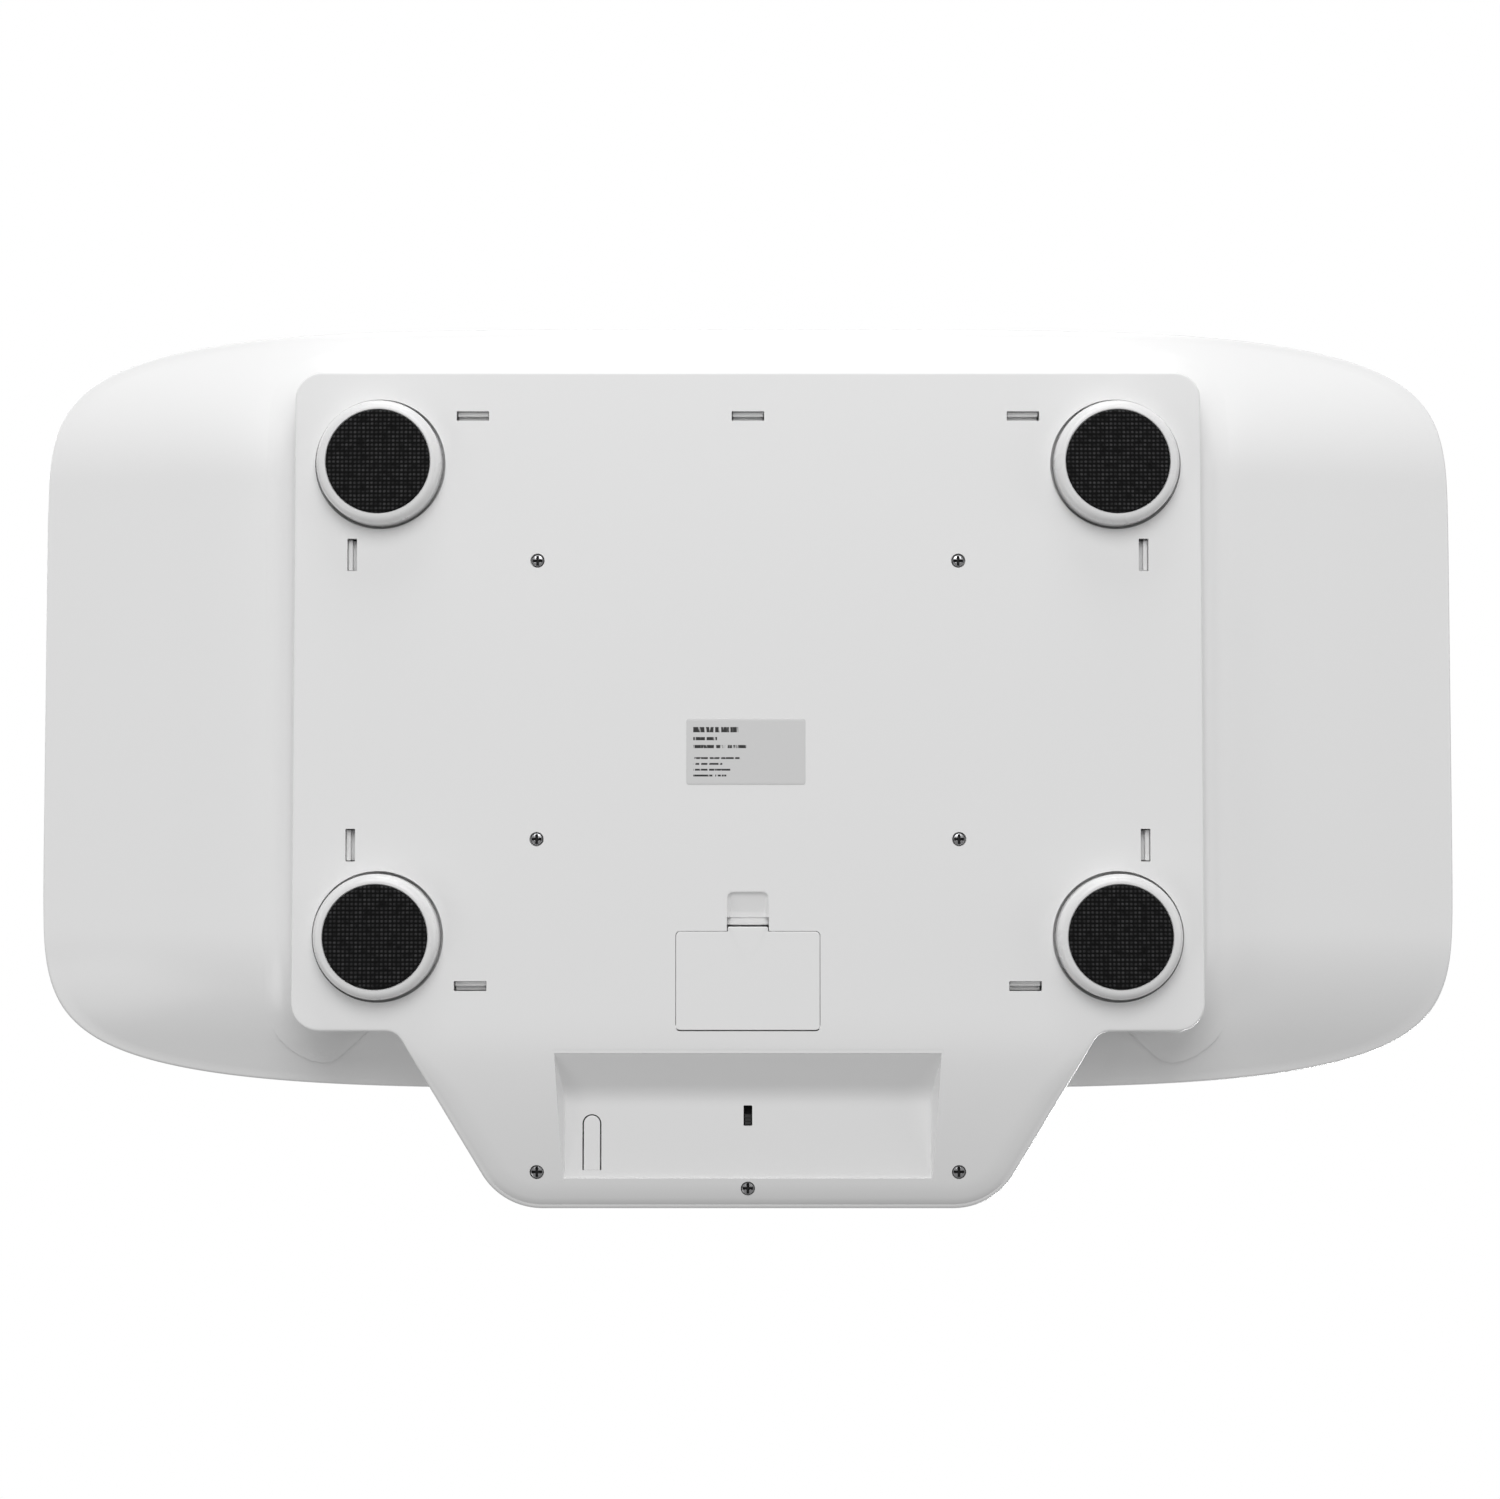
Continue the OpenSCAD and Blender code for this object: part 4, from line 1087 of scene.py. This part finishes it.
def dress_inside():
    """Gives every piece of the frame that still shows the finish of its kind."""
    for node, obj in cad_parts.items():
        for start, finish in CARRIED_FINISHES.items():
            if node.startswith(start):
                dress(obj, finish_named(finish))
                break


# ---------- stage ----------


def aimed(name, place, target, size, energy, color=(1, 1, 1)):
    """A soft square area light that faces a point."""
    data = bpy.data.lights.new(name, "AREA")
    data.shape, data.size, data.energy, data.color = "SQUARE", size, energy, color
    obj = bpy.data.objects.new(name, data)
    bpy.context.scene.collection.objects.link(obj)
    obj.location = place
    obj.rotation_euler = (Vector(target) - Vector(place)).to_track_quat("-Z", "Y").to_euler()
    obj.visible_camera = False
    return obj


def build_camera(scene):
    """The camera looks up at the underside from below, leaning a little from the console's side."""
    data = bpy.data.cameras.new("camera")
    data.lens, data.sensor_width, data.clip_start = 70.0, 36.0, 0.01
    camera = bpy.data.objects.new("camera", data)
    scene.collection.objects.link(camera)
    s, c = math.sin(CAMERA_LEAN), math.cos(CAMERA_LEAN)
    spin = Matrix(((-1, 0, 0, 0), (0, c, -s, 0), (0, -s, -c, 0), (0, 0, 0, 1)))
    aim = Vector(CAMERA_AIM)
    camera.matrix_world = Matrix.Translation(aim + CAMERA_DISTANCE * Vector((0, -s, -c))) @ spin
    scene.camera = camera


def build_world(scene):
    """A white surround to look at, and a dimmer one that lights the object."""
    world = bpy.data.worlds.new("surround")
    world.use_nodes = True
    nodes, links = world.node_tree.nodes, world.node_tree.links
    seen = nodes["Background"]
    seen.inputs["Color"].default_value = (1, 1, 1, 1)
    lighting = nodes.new("ShaderNodeBackground")
    lighting.inputs["Color"].default_value = (1, 1, 1, 1)
    lighting.inputs["Strength"].default_value = SURROUND
    path, mix = nodes.new("ShaderNodeLightPath"), nodes.new("ShaderNodeMixShader")
    links.new(path.outputs["Is Camera Ray"], mix.inputs["Fac"])
    links.new(lighting.outputs["Background"], mix.inputs[1])
    links.new(seen.outputs["Background"], mix.inputs[2])
    links.new(mix.outputs["Shader"], nodes["World Output"].inputs["Surface"])
    scene.world = world


def build_floor():
    """A pale sheet to stand on, clear from below and fading out around the object, that keeps no light
    from the underside."""
    loop = circle(FLOOR_R, 96)
    floor = piece("floor", closed_skin([row(loop, -0.7), row(loop, -0.5)]))
    f = Finish("floor", (0.8, 0.8, 0.8), 0.7)
    apart = f.node("ShaderNodeVectorMath", {"operation": "LENGTH"}, {0: f.place()})["Value"]
    up = f.node("ShaderNodeNewGeometry", {}, {})["Normal"]
    upward = f.node("ShaderNodeSeparateXYZ", {}, {"Vector": up})["Z"].above(0.5, 0.1)
    f.set("Alpha", upward * (1 - apart.above(FLOOR_FADE * MM, FLOOR_FADE * 0.5 * MM)))
    floor.data.materials.append(f.material)
    floor.visible_shadow = floor.visible_diffuse = floor.visible_glossy = False


def build_stage():
    scene = bpy.context.scene
    scene.view_settings.view_transform = "Standard"
    build_camera(scene)
    build_world(scene)
    build_floor()
    middle = (0, 0, 0.02)
    for name, place, size, energy in LIGHTS:
        aimed(name, place, middle, size, energy)


# ---------- add-on ----------


def colour(label, note, value):
    return bpy.props.FloatVectorProperty(name=label, description=note, subtype="COLOR", size=3, min=0, max=1,
                                         default=value)


def length(label, note, value, low, high):
    return bpy.props.FloatProperty(name=label, description=note, subtype="DISTANCE", unit="LENGTH",
                                   default=value, min=low, max=high, precision=5)


class BabyScaleColours(bpy.types.PropertyGroup):
    """Base colours of the finishes."""

    shell: colour("Shell", "Tray, housings, door and tongue", (0.83, 0.83, 0.83))
    feet: colour("Feet", "Foot caps", (0.8, 0.8, 0.8))
    pads: colour("Pads", "Non-slip pads", (0.0075, 0.0075, 0.0078))
    metal: colour("Metal", "Screws and plated parts", (0.46, 0.46, 0.47))
    label: colour("Label", "Rating sticker", (0.67, 0.67, 0.67))
    keys: colour("Keys", "Key caps", (0.36, 0.38, 0.42))
    display: colour("Display", "Display glass", (0.33, 0.39, 0.31))


class BabyScaleSizes(bpy.types.PropertyGroup):
    """Sizes of the details that the frame leaves plain."""

    cove: length("Cove", "Radius of the hollow round between the base's wall and the tray",
                 0.014, 0.004, 0.016)
    crown: length("Crown", "Rise of the console's underside towards its edges", 0.0016, 0, 0.003)
    knit_pitch: length("Knit pitch", "Distance between the pads' rows of knots", 0.0016, 0.001, 0.003)
    knit_depth: length("Knit depth", "Depth of the pads' knots", 0.0003, 0, 0.0005)
    cross_depth: length("Cross depth", "Depth of the screws' cross recess", 0.001, 0.0003, 0.0012)


def sizes_of(context):
    return context.scene.baby_scale_sizes


class BuildTray(bpy.types.Operator):
    """Builds the long curved weighing tray"""

    bl_idname = "baby_scale.tray"
    bl_label = "Weighing tray"

    def execute(self, context):
        build_tray()
        return {"FINISHED"}


class BuildUpperHousing(bpy.types.Operator):
    """Builds the upper housing with its hooks, its hollow round and the console's top"""

    bl_idname = "baby_scale.upper_housing"
    bl_label = "Upper housing"

    def execute(self, context):
        build_upper_housing(sizes_of(context))
        return {"FINISHED"}


class BuildBaseCover(bpy.types.Operator):
    """Builds the base cover with its slots, seats, scoop and console recess"""

    bl_idname = "baby_scale.base_cover"
    bl_label = "Base cover"

    def execute(self, context):
        build_base_cover(sizes_of(context))
        return {"FINISHED"}


class BuildDoor(bpy.types.Operator):
    """Builds the battery door with its tab, arm and pins"""

    bl_idname = "baby_scale.door"
    bl_label = "Battery door"

    def execute(self, context):
        build_door()
        return {"FINISHED"}


class BuildFeet(bpy.types.Operator):
    """Builds the four foot caps and their knitted pads"""

    bl_idname = "baby_scale.feet"
    bl_label = "Feet"

    def execute(self, context):
        build_feet(sizes_of(context))
        return {"FINISHED"}


class BuildScrews(bpy.types.Operator):
    """Builds the seven cross-head screws of the base cover"""

    bl_idname = "baby_scale.screws"
    bl_label = "Screws"

    def execute(self, context):
        build_screws(sizes_of(context))
        return {"FINISHED"}


class BuildControls(bpy.types.Operator):
    """Builds the unit switch's knob and the press tongue in the console recess"""

    bl_idname = "baby_scale.controls"
    bl_label = "Switch and tongue"

    def execute(self, context):
        build_switch()
        build_tongue()
        return {"FINISHED"}


class BuildLabel(bpy.types.Operator):
    """Builds the plain rating sticker"""

    bl_idname = "baby_scale.label"
    bl_label = "Label"

    def execute(self, context):
        build_label()
        return {"FINISHED"}


class BuildDisplay(bpy.types.Operator):
    """Builds the display window and the three keys of the console's top"""

    bl_idname = "baby_scale.display"
    bl_label = "Display and keys"

    def execute(self, context):
        build_lens()
        build_keys()
        return {"FINISHED"}


class DressInside(bpy.types.Operator):
    """Gives cells, boards, wires and other inner parts their finishes"""

    bl_idname = "baby_scale.inside"
    bl_label = "Inner parts"

    def execute(self, context):
        dress_inside()
        return {"FINISHED"}


class BuildStage(bpy.types.Operator):
    """Sets up the camera, the lights and the floor"""

    bl_idname = "baby_scale.stage"
    bl_label = "Stage"

    def execute(self, context):
        build_stage()
        return {"FINISHED"}


STEPS = (BuildTray, BuildUpperHousing, BuildBaseCover, BuildDoor, BuildFeet, BuildScrews, BuildControls,
         BuildLabel, BuildDisplay, DressInside, BuildStage)


class BabyScalePanel(bpy.types.Panel):
    """Colours, sizes and one button for each step"""

    bl_idname = "VIEW3D_PT_baby_scale"
    bl_label = "Baby scale"
    bl_space_type = "VIEW_3D"
    bl_region_type = "UI"
    bl_category = "Baby scale"

    def draw(self, context):
        layout = self.layout
        for group in (context.scene.baby_scale_colours, context.scene.baby_scale_sizes):
            box = layout.box()
            for name in group.__annotations__:
                box.prop(group, name)
        for step in STEPS:
            layout.operator(step.bl_idname)


CLASSES = (BabyScaleColours, BabyScaleSizes, *STEPS, BabyScalePanel)


def register():
    for cls in CLASSES:
        bpy.utils.register_class(cls)
    bpy.types.Scene.baby_scale_colours = bpy.props.PointerProperty(type=BabyScaleColours)
    bpy.types.Scene.baby_scale_sizes = bpy.props.PointerProperty(type=BabyScaleSizes)


def unregister():
    del bpy.types.Scene.baby_scale_sizes
    del bpy.types.Scene.baby_scale_colours
    for cls in reversed(CLASSES):
        bpy.utils.unregister_class(cls)


def main():
    register()
    for step in STEPS:
        group, name = step.bl_idname.split(".")
        getattr(getattr(bpy.ops, group), name)()


if __name__ == "__main__":
    main()
